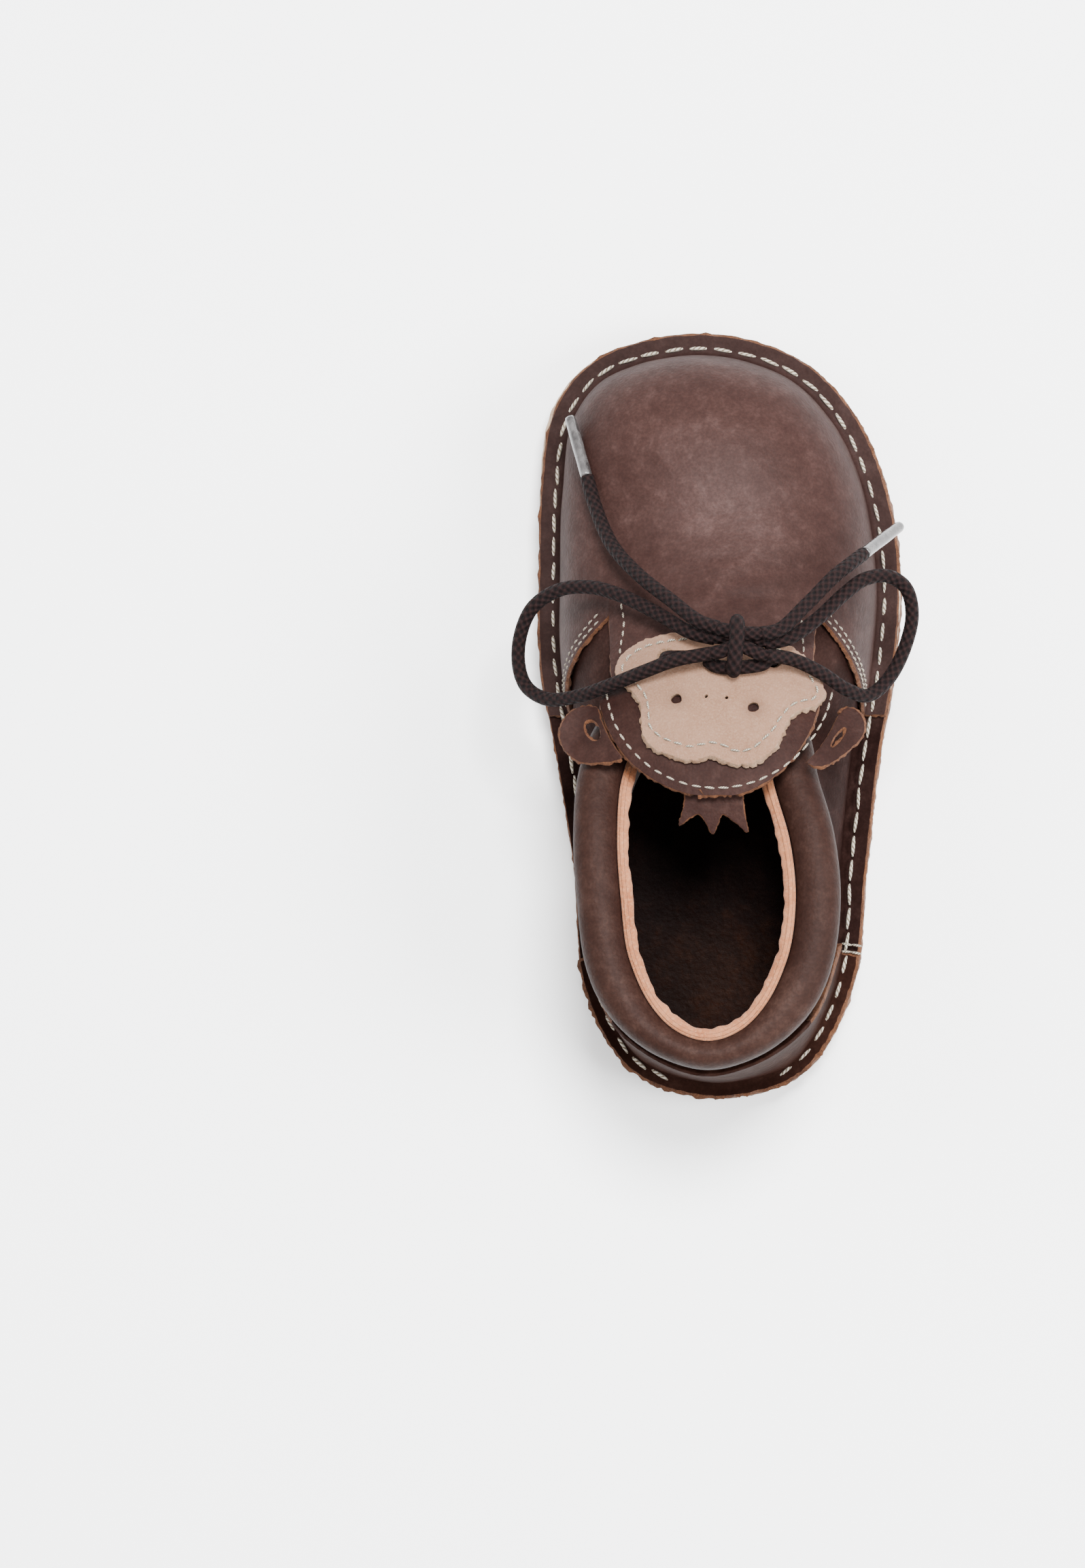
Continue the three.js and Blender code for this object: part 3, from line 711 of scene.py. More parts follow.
def rawFinish(name, low, high, fibre=0.5, depth=0.3):
    # Cut edge: undyed fibres from pale to orange brown.
    made = Finish(name, 0.88, 0.2)
    fibres = made.noise(fibre, 6, 0.75, distortion=0.6)
    patches = made.noise(3.4, 3, 0.6)
    tone = (fibres * 0.9 + patches * 0.5 - 0.2).between(0.2, 0.85)
    made.colour(made.blendColour(tone, paint(*low), paint(*high)))
    made.bump((fibres, depth), (made.noise(fibre * 2.4, 4, 0.7), depth))
    return made.material


def suedeFinish(name, low, mid, high, fibre):
    made = Finish(name, 0.9, 0.2)
    nap = made.noise(fibre, 6, 0.72, distortion=0.5)
    cloud = made.noise(9, 3, 0.5)
    tuft = made.noise(fibre * 4, 4, 0.65)
    ground = made.blendColour((cloud * 0.8 + tuft * 0.4).between(0.3, 0.85), paint(*low), paint(*mid))
    ground = made.blendColour(nap.between(0.42, 0.72) * 0.75, ground, paint(*high))
    # Painted shade: darker where the shade mask is set.
    ground = made.blendColour(made.attribute("pressed") * 0.6, ground, paint(*[c * 0.75 for c in low]))
    made.colour(ground)
    made.bump((tuft, 0.16), (nap, 0.14))
    made.shader.inputs["Sheen Weight"].default_value = 0.12
    return made.material


def crepeFinish():
    # Natural crepe rubber: brown, crumbly, with a little bloom.
    made = Finish("crepe", 0.8, 0.3)
    lumps = made.noise(1.5, 5, 0.7, distortion=0.8)
    pits = made.cells(1.1)
    cloud = made.noise(11, 3, 0.5)
    ground = made.blendColour((lumps * 0.8 + cloud * 0.5 - 0.1).between(0.25, 0.8), paint(62, 34, 20),
                              paint(150, 94, 56))
    ground = made.blendColour(pits.between(0.0, 0.34), paint(46, 26, 16), ground)
    made.colour(ground)
    made.bump((lumps, 0.7), (pits, 0.25))
    return made.material


def midsoleFinish():
    made = Finish("paleMidsole", 0.75, 0.35)
    grain = made.noise(1.2, 4, 0.6, at=made.place((1, 1, 4)))
    cloud = made.noise(9, 3, 0.5)
    ground = made.blendColour((grain * 0.7 + cloud * 0.6 - 0.1).between(0.25, 0.8), paint(178, 140, 112),
                              paint(226, 200, 172))
    made.colour(ground)
    made.bump((grain, 0.22), (made.noise(0.5, 3, 0.6), 0.1))
    return made.material


def threadFinish():
    # Two-ply waxed thread; the twist follows the stitch.
    made = Finish("thread", 0.7, 0.15)
    along = made.attribute("threadAlong")
    around = made.attribute("threadAround")
    twist = ((along * 26 + around * 12.566).sine() * 0.5 + 0.5)
    dirt = made.noise(2.2, 3, 0.6)
    ground = made.blendColour(twist.between(0.05, 0.6), paint(120, 104, 86), paint(222, 212, 194))
    ground = made.blendColour(dirt.between(0.5, 0.8) * 0.35, ground, paint(176, 160, 138))
    made.colour(ground)
    made.bump((twist, 0.12), (made.noise(0.2, 3, 0.6), 0.04))
    return made.material


def braidFinish():
    # Round braided cord: crossing rows of small cells that follow its length.
    made = Finish("braid", 0.82, 0.1)
    along = made.attribute("cordAlong")
    around = made.attribute("cordAround")
    cell = (along * 3.5).sine() * (around * 31.416).sine() * 0.5 + 0.5
    strand = made.noise(0.22, 4, 0.65)
    tone = (cell * 0.75 + strand * 0.35)
    ground = made.blendColour(tone.between(0.15, 0.9), paint(6, 2, 3), paint(40, 23, 22))
    ground = made.blendColour(strand.between(0.6, 0.8) * 0.3, ground, paint(70, 46, 42))
    made.colour(ground)
    made.bump((cell, 0.5), (strand, 0.08))
    return made.material


def agletFinish():
    made = Finish("agletPlastic", 0.22, 0.6)
    streak = made.noise(1.4, 4, 0.6, at=made.place((1, 0.35, 1)))
    made.colour(made.blendColour(streak.between(0.3, 0.75), paint(52, 48, 48), paint(110, 106, 105)))
    made.rough(0.16 + streak * 0.2)
    made.bump((streak, 0.1))
    made.shader.inputs["Coat Weight"].default_value = 0.25
    made.shader.inputs["Coat Roughness"].default_value = 0.12
    return made.material


def floorFinish():
    made = Finish("floor", 0.9, 0.1)
    cloud = made.noise(160, 2, 0.5)
    made.colour(made.blendColour(cloud, (0.95, 0.955, 0.96, 1), (0.97, 0.975, 0.975, 1)))
    return made.material


leathers = {name: leatherFinish(name, **kind) for name, kind in leatherKinds.items()}
rawEdge = rawFinish("rawEdge", (60, 32, 19), (138, 88, 56))
darkEdge = rawFinish("darkEdge", (56, 26, 14), (120, 68, 40))
paleEdge = rawFinish("paleEdge", (150, 108, 78), (208, 176, 148))
patchSuede = suedeFinish("patchSuede", (147, 106, 81), (164, 124, 99), (181, 146, 122), 0.35)
liningSuede = suedeFinish("liningSuede", (168, 98, 60), (196, 128, 88), (214, 154, 116), 0.6)
crepe = crepeFinish()
paleMidsole = midsoleFinish()
thread = threadFinish()
braid = braidFinish()
agletPlastic = agletFinish()
# A darkened copy of the lining suede: painted shade for the dim inside of the shoe.
liningDark = suedeFinish("liningDark", (52, 30, 18), (70, 42, 27), (92, 58, 38), 0.6)
boardFinish = rawFinish("board", (150, 120, 90), (196, 168, 134), 0.8, 0.15)
makeStudio().data.materials.append(floorFinish())
print("studio and finishes made")


def cordMesh(name, path, radii, sides=14, step=0.42):
    # A tube along a path; it carries how far along (mm) and round (turns) each point lies.
    count = max(int(path.length / step), 8)
    shares = np.linspace(0, 1, count + 1)
    spots, ways = path.at(shares), path.along(shares)
    normal = np.cross(ways[0], [0, 0, 1])
    normal /= np.linalg.norm(normal)
    points, alongs = [], []
    radiusAt = np.interp(shares, [s for s, _ in radii], [r for _, r in radii])
    for i in range(count + 1):
        normal = normal - ways[i] * normal.dot(ways[i])
        normal /= np.linalg.norm(normal)
        other = np.cross(ways[i], normal)
        for j in range(sides):
            turn = j / sides * 2 * math.pi
            out = normal * math.cos(turn) + other * math.sin(turn)
            points.append(spots[i] + out * radiusAt[i])
            alongs.append(shares[i] * path.length)
    faces = []
    for i in range(count):
        for j in range(sides):
            k = (j + 1) % sides
            faces.append([i * sides + j, i * sides + k, (i + 1) * sides + k, (i + 1) * sides + j])
    for row, back in ((0, True), (count, False)):
        ring = [row * sides + j for j in range(sides)]
        points.append(spots[row] + ways[row] * (-0.3 if back else 0.3))
        alongs.append(shares[row] * path.length)
        tip = len(points) - 1
        for j in range(sides):
            k = (j + 1) % sides
            faces.append([tip, ring[k], ring[j]] if back else [tip, ring[j], ring[k]])
    thing = meshObject(name, points, faces)
    along = thing.data.attributes.new("cordAlong", "FLOAT", "POINT")
    along.data.foreach_set("value", alongs)
    around = thing.data.attributes.new("cordAround", "FLOAT", "CORNER")
    turns = []
    for face in thing.data.polygons:
        places = [(v % sides) / sides if v < (count + 1) * sides else 0 for v in face.vertices]
        if max(places) - min(places) > 0.5:
            places = [p + 1 if p < 0.5 else p for p in places]
        turns.extend(places)
    around.data.foreach_set("value", turns)
    return thing


def pathTo(points):
    # The same line in metres, evenly spaced, for the cord's own record.
    path = Path(points)
    return [tuple(p * mm) for p in path.at(np.linspace(0, 1, 24))], path


lacePlan = {
    "medialLoop": {"node": "lace_medial_loop", "far": "object"},
    "lateralLoop": {"node": "lace_lateral_loop", "far": "object"},
    "medialTail": {"node": "lace_medial_tail", "far": "fitting", "aglet": "medial_aglet"},
    "lateralTail": {"node": "lace_lateral_tail", "far": "fitting", "aglet": "lateral_aglet"},
}
agletPlan = {"length": 13.5, "diameter": 2.4, "gap": 0.3, "crimp": 0.12}


def makeAglet(name, route, node):
    # Clear film wound tight on the lace end: slightly pinched, with a flat lap and a plain tip.
    end = np.array(route[-1], float)
    way = end - np.array(route[-2], float)
    way /= np.linalg.norm(way)
    radius, length = agletPlan["diameter"] / 2, agletPlan["length"]
    start = end + way * agletPlan["gap"]
    line = Path([start + way * length * share for share in np.linspace(0, 1, 8)])
    radii = [(0, radius * 0.94), (0.03, radius), (0.3, radius * 0.96), (0.55, radius * 0.99),
             (0.8, radius * 0.93), (0.97, radius * 0.92), (1, radius * 0.8)]
    thing = cordMesh(name, line, radii, sides=20, step=0.3)
    side = np.cross(way, [0, 0, 1])
    side /= np.linalg.norm(side)
    up = np.cross(side, way)
    for vert in thing.data.vertices:
        spot = np.array(vert.co) / mm
        off = spot - start
        turn = math.atan2(off.dot(up), off.dot(side))
        lap = agletPlan["crimp"] * (0.5 + 0.5 * math.tanh(6 * math.sin(turn - 0.8))) * 0.6
        out = off - way * off.dot(way)
        size = np.linalg.norm(out)
        if size > 0.2:
            vert.co = Vector((spot + out / size * (lap - 0.06)) * mm)
    thing.data.materials.append(agletPlastic)
    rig.ride(thing, "shoe")
    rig.replaces(thing, node)
    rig.slot(thing, "aglet")
    return thing


def makeLaces():
    for name, plan in lacePlan.items():
        metres, path = pathTo(laceRoutes[name])
        radius = laceDiameter / 2
        thing = cordMesh(name, path, [(0, radius), (1, radius)])
        thing.data.materials.append(braid)
        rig.ride(thing, "shoe")
        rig.replaces(thing, plan["node"])
        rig.slot(thing, "lace")
        extra = []
        if "aglet" in plan:
            extra = [makeAglet(name + "Aglet", laceRoutes[name], plan["aglet"])]
        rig.cord(thing, exit=metres[0], length=round(path.length * mm, 4), diameter=laceDiameter * mm,
                far_end=plan["far"], stiffness="limp", lay="loose", path=metres, with_pieces=extra)


# The knot: two turns pulled flat, and one turn that wraps round them.
knotPlan = {
    "across": [[[-6.2, -1.7, 1.0], [-3.6, -1.5, 1.4], [-1.2, -0.6, 1.5], [1.4, -0.7, 1.5], [3.8, -1.8, 1.2],
                [6.0, -2.3, 0.9]],
               [[-5.6, 1.2, -1.7], [-3.0, 1.5, -0.8], [0, 1.7, -0.2], [2.8, 1.2, -0.8], [5.6, 0.3, -1.7]],
               [[-4.8, 3.2, 0.2], [-2.6, 2.7, 0.8], [-0.2, 2.2, 1.2], [2.4, 2.0, 1.1], [5.0, 2.1, 0.8]],
               [[-6.6, -3.1, -2.4], [-4.2, -4.2, -1.6], [-1.4, -4.5, -1.2], [1.6, -4.3, -1.2],
                [4.4, -3.8, -1.6], [6.4, -2.6, -2.5]]],
    "wrap": [[-0.9, -4.6, -2.0], [-1.0, -5.2, -0.2], [-0.8, -4.0, 1.6], [-0.5, -1.4, 2.5], [-0.2, 1.4, 2.5],
             [-0.2, 3.6, 1.7], [-0.3, 4.5, 0.0], [-0.3, 3.8, -1.8]],
    "wrapWidth": 1.5,
}


def makeKnot():
    parts = []
    for i, route in enumerate(knotPlan["across"]):
        line = Path(np.array(route) + knotCentre)
        parts.append(cordMesh("knotTurn%d" % i, line, [(0, 1.0), (0.15, 1.35), (0.85, 1.35), (1, 1.0)]))
    line = Path(np.array(knotPlan["wrap"]) + knotCentre)
    width = knotPlan["wrapWidth"]
    parts.append(cordMesh("knotWrap", line, [(0, 1.1), (0.2, width), (0.8, width), (1, 1.1)], sides=18))
    joined = joinThings("knot", parts)
    joined.data.materials.clear()
    joined.data.materials.append(braid)
    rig.ride(joined, "shoe")
    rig.replaces(joined, "lace_knot")
    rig.slot(joined, "lace")
    return joined


def joinThings(name, things):
    for thing in bpy.context.selected_objects:
        thing.select_set(False)
    for thing in things:
        thing.select_set(True)
    bpy.context.view_layer.objects.active = things[0]
    if len(things) > 1:
        bpy.ops.object.join()
    things[0].name = name
    things[0].data.name = name
    return things[0]


holePlan = {"x": 2.1, "y": 9.8, "spread": 10.4, "diameter": 3.9, "patch": 1.5}


def makeRun():
    # Down one hole, across under the flap and up through the other.
    x, y = holePlan["x"], holePlan["y"]
    left, right = x - holePlan["spread"], x + holePlan["spread"]
    over = flapHeight(x, y) + shoe["gap"] + holePlan["patch"] + laceDiameter / 2 + 0.1
    under = flapHeight(left, y) - shoe["leather"] - laceDiameter / 2 - 2
    leftHole, rightHole = flapHeight(left, y), flapHeight(right, y)
    line = [[left + 4.8, over], [left + 2.8, over], [left + 0.9, over - 0.1], [left, leftHole + 0.9],
            [left, leftHole - 1.4], [left + 1.4, under + 0.4], [left + 4, under], [right - 4, under],
            [right - 1.4, under + 0.4], [right, rightHole - 1.4], [right, rightHole + 0.9],
            [right - 0.5, over - 0.1], [right - 1.6, over + 0.8]]
    radius = laceDiameter / 2
    thing = cordMesh("laceRun", Path([[px, y, pz] for px, pz in line]), [(0, radius), (1, radius)])
    thing.data.materials.append(braid)
    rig.ride(thing, "shoe")
    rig.replaces(thing, "lace_run")
    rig.slot(thing, "lace")


makeLaces()
makeKnot()
makeRun()
print("laces laid")


def normalsOf(points):
    one, two = np.gradient(points, axis=0), np.gradient(points, axis=1)
    normal = np.cross(two, one)
    size = np.linalg.norm(normal, axis=-1, keepdims=True)
    return normal / np.maximum(size, 1e-9)


def inward(points, depth):
    return points - normalsOf(points) * depth


def soften(points, amount, size, seed):
    # Slow unevenness of hand-pulled leather.
    flat = points.reshape(-1, 3)
    lift = (wander(flat, size, seed) + 0.45) * amount
    return points + normalsOf(points) * lift.reshape(points.shape[:-1])[..., None]


def paintBy(thing, name, valueAt):
    # Stores one number per point for the finish to read.
    spots = np.empty(len(thing.data.vertices) * 3)
    thing.data.vertices.foreach_get("co", spots)
    values = np.clip(valueAt(spots.reshape(-1, 3) / mm), 0, 1)
    thing.data.attributes.new(name, "FLOAT", "POINT").data.foreach_set("value", values)


def rimJitter(thing, amount, size, seed):
    # Ragged cut edge: moves only the points along open edges.
    work = bmesh.new()
    work.from_mesh(thing.data)
    for vert in work.verts:
        if vert.is_boundary:
            spot = vert.co / mm
            push = noise.noise_vector(spot / size + Vector((seed, 0, 0))) * amount
            inside = (sum((e.other_vert(vert).co for e in vert.link_edges if not e.is_boundary), Vector())
                      / max(1, sum(not e.is_boundary for e in vert.link_edges)))
            way = (vert.co - inside).normalized()
            vert.co += way * push.x * mm + push * 0.3 * mm
    work.to_mesh(thing.data)
    work.free()


def flareEdges(thing, out, drop, seed=3.0, where=None):
    # A cut edge is never square: the fibres spread outwards and down in a ragged band.
    work = bmesh.new()
    work.from_mesh(thing.data)
    work.normal_update()
    edges = [e for e in work.edges if e.is_boundary and (where is None or
             where((e.verts[0].co + e.verts[1].co) / 2 / mm))]
    away = {}
    for edge in edges:
        face = edge.link_faces[0]
        side = (edge.verts[1].co - edge.verts[0].co).cross(face.normal).normalized()
        if side.dot(face.calc_center_median() - edge.verts[0].co) > 0:
            side.negate()
        for vert in edge.verts:
            way, normal = away.get(vert.index, (Vector(), Vector()))
            away[vert.index] = (way + side, normal + face.normal)
    grown = bmesh.ops.extrude_edge_only(work, edges=edges)["geom"]
    fresh = {g for g in grown if isinstance(g, bmesh.types.BMVert)}
    for vert in fresh:
        old = next(e.other_vert(vert) for e in vert.link_edges if e.other_vert(vert) not in fresh)
        way, normal = away[old.index]
        spot = old.co / mm
        rough = 0.8 + noise.noise(spot / 0.7 + Vector((seed, 0, 0))) * 0.7 + noise.noise(spot / 2.4) * 0.5
        vert.co = old.co + (way.normalized() * out * rough - normal.normalized() * drop) * mm
    for face in (g for g in grown if isinstance(g, bmesh.types.BMFace)):
        face.material_index = 1
        face.smooth = True
    work.to_mesh(thing.data)
    work.free()


def clothFrom(name, outline, holes, spacing, heightAt, ragged=0.12, seed=1.0, raggedSize=0.9):
    # A flat cut shape draped on a height: clean triangles between its edges.
    rings = [outline] + list(holes)
    points, edges, loops = [], [], []
    for k, ring in enumerate(rings):
        line = Path([[*p, 0] for p in ring], True)
        count = max(10, int(line.length / (spacing * 0.8)))
        spots = line.at(np.arange(count) / count)[:, :2]
        ways = line.along(np.arange(count) / count)[:, :2]
        shake = wander(np.c_[spots, np.zeros(count)], raggedSize, seed) * 0.7 + \
            wander(np.c_[spots, np.ones(count)], raggedSize * 0.35, seed) * 0.5
        spots = spots + np.c_[ways[:, 1], -ways[:, 0]] * (shake * ragged * (1 if k == 0 else 0.4))[:, None]
        first = len(points)
        points.extend(spots)
        edges.extend([(first + i, first + (i + 1) % count) for i in range(count)])
        loops.append(spots)
    low, high = loops[0].min(0), loops[0].max(0)
    xs, ys = np.meshgrid(*(np.arange(a, b, spacing) for a, b in zip(low, high)))
    xs = xs + (np.arange(xs.shape[0]) % 2)[:, None] * spacing / 2
    inner = np.c_[xs.ravel(), ys.ravel()]

    def holds(loop, spots):
        a, b = loop, np.roll(loop, -1, 0)
        cross = (a[None, :, 1] > spots[:, None, 1]) != (b[None, :, 1] > spots[:, None, 1])
        with np.errstate(divide="ignore", invalid="ignore"):
            at = (b[:, 0] - a[:, 0]) * (spots[:, None, 1] - a[:, 1]) / (b[:, 1] - a[:, 1]) + a[:, 0]
        return (np.sum(cross & (spots[:, None, 0] < at), axis=1) % 2) == 1

    keep = holds(loops[0], inner)
    for loop in loops[1:]:
        keep &= ~holds(loop, inner)
    inner = inner[keep]
    border = np.vstack(loops)
    gaps = np.array([np.min(np.sum((border - p) ** 2, axis=1)) for p in inner])
    inner = inner[gaps > (spacing * 0.55) ** 2]
    everything = [Vector(p) for p in np.vstack([border, inner])]
    spots, _, faces, *_ = delaunay_2d_cdt(everything, edges, [], 0, 1e-6)
    flat = np.array([list(p) for p in spots])
    middles = np.array([flat[list(f)].mean(0) for f in faces])
    good = holds(loops[0], middles)
    for loop in loops[1:]:
        good &= ~holds(loop, middles)
    faces = [f for f, g in zip(faces, good) if g]
    solid = np.c_[flat, heightAt(flat[:, 0], flat[:, 1])]
    thing = meshObject(name, solid, faces)
    work = bmesh.new()
    work.from_mesh(thing.data)
    loose = [v for v in work.verts if not v.link_faces]
    bmesh.ops.delete(work, geom=loose, context="VERTS")
    for face in work.faces:
        if face.normal.z < 0:
            face.normal_flip()
    work.to_mesh(thing.data)
    work.free()
    return thing


def ovalRing(x, y, width, length, turn=0, count=16):
    ring = []
    for i in range(count):
        a = i / count * 2 * math.pi
        px, py = math.cos(a) * width / 2, math.sin(a) * length / 2
        ring.append([x + px * math.cos(turn) - py * math.sin(turn),
                     y + px * math.sin(turn) + py * math.cos(turn)])
    return ring


headBlend = {"start": (0, 7.8 * mm, 53.5 * mm), "end": (0, 1.8 * mm, 54.7 * mm)}
vampPlan = {"columns": 150, "shoulder": 14, "lowRows": 58, "topRows": 40, "flapRows": 44,
            "swell": 0.25, "ripple": 0.06, "rag": 0.16, "flare": (0.5, 0.55),
            "creases": [(20.2, 0.3, 1.1, 0.7), (22.6, 0.34, 1.3, -0.5), (25.6, 0.3, 1.5, 0.4),
                        (29.2, 0.22, 1.8, -0.3), (33.5, 0.14, 2.4, 0.2)]}


def sideWhere(y, rise, way):
    low = np.full(np.shape(rise), shoe["fanEnd"], float)
    high = np.full(np.shape(rise), shoe["throatSide"], float)
    for _ in range(26):
        middle = (low + high) / 2
        behind = vampAt(way * middle, rise)[..., 1] > y
        low, high = np.where(behind, middle, low), np.where(behind, high, middle)
    return way * low


def creaseDepth(points):
    # Soft folds across the instep, fading down the sides.
    x, y, z = points.T
    sink = np.zeros_like(x)
    for i, (line, depth, width, bow) in enumerate(vampPlan["creases"]):
        centre = line + bow * (x / 10) + 0.02 * (x - shoe["headX"]) ** 2 / 3 + np.sin(x * 0.35 + i * 2) * 0.5
        sink += depth * np.exp(-((y - centre) / width) ** 2) * (1 - ease(np.abs(x), 12, 27))
    return sink * ease(z, 22, 36)


def pushMesh(thing, amountAt):
    # Moves every point along its own normal by a distance worked out from its place.
    mesh = thing.data
    spots, ways = np.empty(len(mesh.vertices) * 3), np.empty(len(mesh.vertices) * 3)
    mesh.vertices.foreach_get("co", spots)
    mesh.vertex_normals.foreach_get("vector", ways)
    spots, ways = spots.reshape(-1, 3) / mm, ways.reshape(-1, 3)
    mesh.vertices.foreach_set("co", ((spots + ways * amountAt(spots)[:, None]) * mm).ravel())


def makeVamp():
    plan = vampPlan
    share = np.linspace(0, 1, plan["columns"] + 1)
    low = wallRows(shoe["notchRise"], plan["lowRows"])
    wing = shoe["notchY"] * np.clip(low, 0, 1) / shoe["notchRise"]
    left, right = sideWhere(wing, low, -1), sideWhere(wing, low, 1)
    lowSide = np.where(share[:, None] < 0.5, left[None, :] * (1 - 2 * share[:, None]),
                       right[None, :] * (2 * share[:, None] - 1))
    lower = vampAt(lowSide, np.ones_like(lowSide) * low)
    up = shoe["notchRise"] + (1 - shoe["notchRise"]) * np.linspace(0, 1, plan["topRows"] + 1) ** 0.8
    bounds = [sideWhere(np.full_like(up, y), up, way)
              for way in (-1, 1) for y in (shoe["hingeY"], shoe["notchY"])]
    leftOut, leftIn, rightOut, rightIn = bounds
    step = np.linspace(0, 1, plan["shoulder"] + 1)[:, None]
    middle = np.where(share[:, None] < 0.5, leftIn[None, :] * (1 - 2 * share[:, None]),
                      rightIn[None, :] * (2 * share[:, None] - 1))
    sides = np.vstack([mix(leftOut, leftIn, step)[:-1], middle, mix(rightIn, rightOut, step)[1:]])
    upper = vampAt(sides, np.ones_like(sides) * up)
    upper[:, -1, 0] = ridgeAt(sides[:, -1])[..., 0]
    # The head behind the hinge starts on the hinge points and closes on its round edge.
    hinge = np.vstack([upper[0], upper[-1][::-1][1:]])
    turn0 = math.asin((shoe["headY"] - shoe["hingeY"]) / shoe["headRadius"])
    wide = shoe["headRadius"] * math.cos(turn0)
    across = (hinge[:, 0] - shoe["headX"]) / wide
    back = np.linspace(0, 1, plan["flapRows"] + 1)
    turn = mix(turn0, 0.9 * math.pi / 2, back)
    fill = mix(1, 1 / np.max(np.abs(across)), ease(back, 0, 0.12))
    x = shoe["headX"] + shoe["headRadius"] * np.cos(turn)[None, :] * across[:, None] * fill[None, :]
    y = (shoe["headY"] - shoe["headRadius"] * np.sin(turn))[None, :] * np.ones_like(x)
    head = np.stack([x, y, flapHeight(x, y)], -1)
    head[:, 0] = hinge
    thing = sheetFrom("vampAndHead", [lower, upper, head])
    smoothSeams(thing)
    pushMesh(thing, lambda p: (wander(p, 16, 3) + 0.45) * plan["swell"] + wander(p, 5, 8) * plan["ripple"]
             - creaseDepth(p))
    cutHoles(thing, [[holePlan["x"] + w * holePlan["spread"], holePlan["y"], holePlan["diameter"] / 2]
                     for w in (-1, 1)])
    rimJitter(thing, plan["rag"], 1.1, 4)
    flareEdges(thing, *plan["flare"])
    paintBy(thing, "pressed", weltGrooveShade)
    # Painted highlight on the crown of the toe dome.
    paintBy(thing, "worn", lambda p: 0.9 * np.exp(-(((p[:, 0] - 1) / 13) ** 2 + ((p[:, 1] - 40) / 12) ** 2)))
    thicken(thing, shoe["leather"], 0.2, [leathers["upperLeather"], rawEdge, rawEdge, leathers["headLeather"]],
             1)
    retint(thing)
    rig.blend(thing, "shoe", "head", **headBlend)
    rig.replaces(thing, "vamp", "flap")
    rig.slot(thing, "upper_leather")
    return thing


def weltGrooveShade(p):
    # Painted shade in the welt groove and over the flange, whose leather is also a deeper tone.
    edge = 1 - ease(p[:, 2], shoe["flangeTop"] + 0.5, shoe["flangeTop"] + 3.2)
    return edge * 0.55


def retint(thing):
    # The head is a deeper tone of the same hide, from its shoulders back.
    for face in thing.data.polygons:
        _, y, z = face.center / mm
        if face.material_index == 0 and z > 38 and y < shoe["hingeY"] + 0.4:
            face.material_index = 3


def smoothSeams(thing):
    # Relaxes the joint lines between the three grids without moving open edges.
    work = bmesh.new()
    work.from_mesh(thing.data)
    low, high = (shoe["hingeY"] - 2.5) * mm, (shoe["notchY"] + 4) * mm
    soft = [v for v in work.verts if not v.is_boundary and low < v.co.y < high and v.co.z > 30 * mm]
    for _ in range(6):
        bmesh.ops.smooth_vert(work, verts=soft, factor=0.5, use_axis_x=False, use_axis_y=False, use_axis_z=True)
    work.to_mesh(thing.data)
    work.free()


def cutHoles(thing, holes):
    # Punched holes seen from above: faces go, and the rim is pulled to a true circle.
    work = bmesh.new()
    work.from_mesh(thing.data)
    for x, y, radius in holes:
        gone = [f for f in work.faces if f.normal.z > 0.2 and
                math.hypot(f.calc_center_median().x / mm - x, f.calc_center_median().y / mm - y) < radius]
        bmesh.ops.delete(work, geom=gone, context="FACES")
        for vert in work.verts:
            away = Vector((vert.co.x / mm - x, vert.co.y / mm - y))
            if vert.is_boundary and away.length < radius + 1.2 and vert.co.z > 30 * mm:
                away = away.normalized() * radius
                vert.co.x, vert.co.y = (x + away.x) * mm, (y + away.y) * mm
    work.to_mesh(thing.data)
    work.free()


def footShade(p):
    # Painted shade where the back pieces turn out over the sole.
    return 0.4 * (1 - ease(p[:, 2], shoe["flangeTop"] + 0.5, shoe["flangeTop"] + 4))


quarterPlan = {"front": 0.395, "columns": 120, "rows": 46, "swell": 0.3, "rag": 0.1, "flare": (0.35, 0.4)}


def makeQuarter(name, way, node):
    plan = quarterPlan
    share = np.linspace(0, 1, plan["columns"] + 1)
    side = mix(plan["front"], 0.9985, share) if way > 0 else mix(-0.9985, -plan["front"], share)
    rows = wallRows(1, plan["rows"])
    top = mix(0.6, 1, ease(np.abs(side), shoe["throatSide"] - 0.01, shoe["throatSide"] + 0.09))
    rise = np.where(rows[None, :] > 0, rows[None, :] * top[:, None], rows[None, :])
    sides = side[:, None] * np.ones_like(rise)
    points = inward(soften(quarterAt(sides, rise), plan["swell"], 15, 7 + way), quarterDepth)
    thing = sheetFrom(name, [points])
    rimJitter(thing, plan["rag"], 1.1, 4)
    flareEdges(thing, *plan["flare"], where=lambda p: p.z < 12)
    paintBy(thing, "pressed", footShade)
    # Painted light, stronger towards the top and the front.
    paintBy(thing, "worn", lambda p: 0.7 * ease(p[:, 2], 24, 36) * ease(p[:, 1], -60, -20))
    thicken(thing, shoe["inner"], 0.18, [leathers["quarterLeather"], rawEdge], 1)
    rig.ride(thing, "shoe")
    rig.replaces(thing, node)
    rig.slot(thing, "quarter_leather")


counterPlan = {"front": 0.77, "columns": 110, "rows": 40, "heelTop": 0.97, "frontTop": 0.06, "swell": 0.25,
               "rag": 0.22, "flare": (0.75, 0.5)}


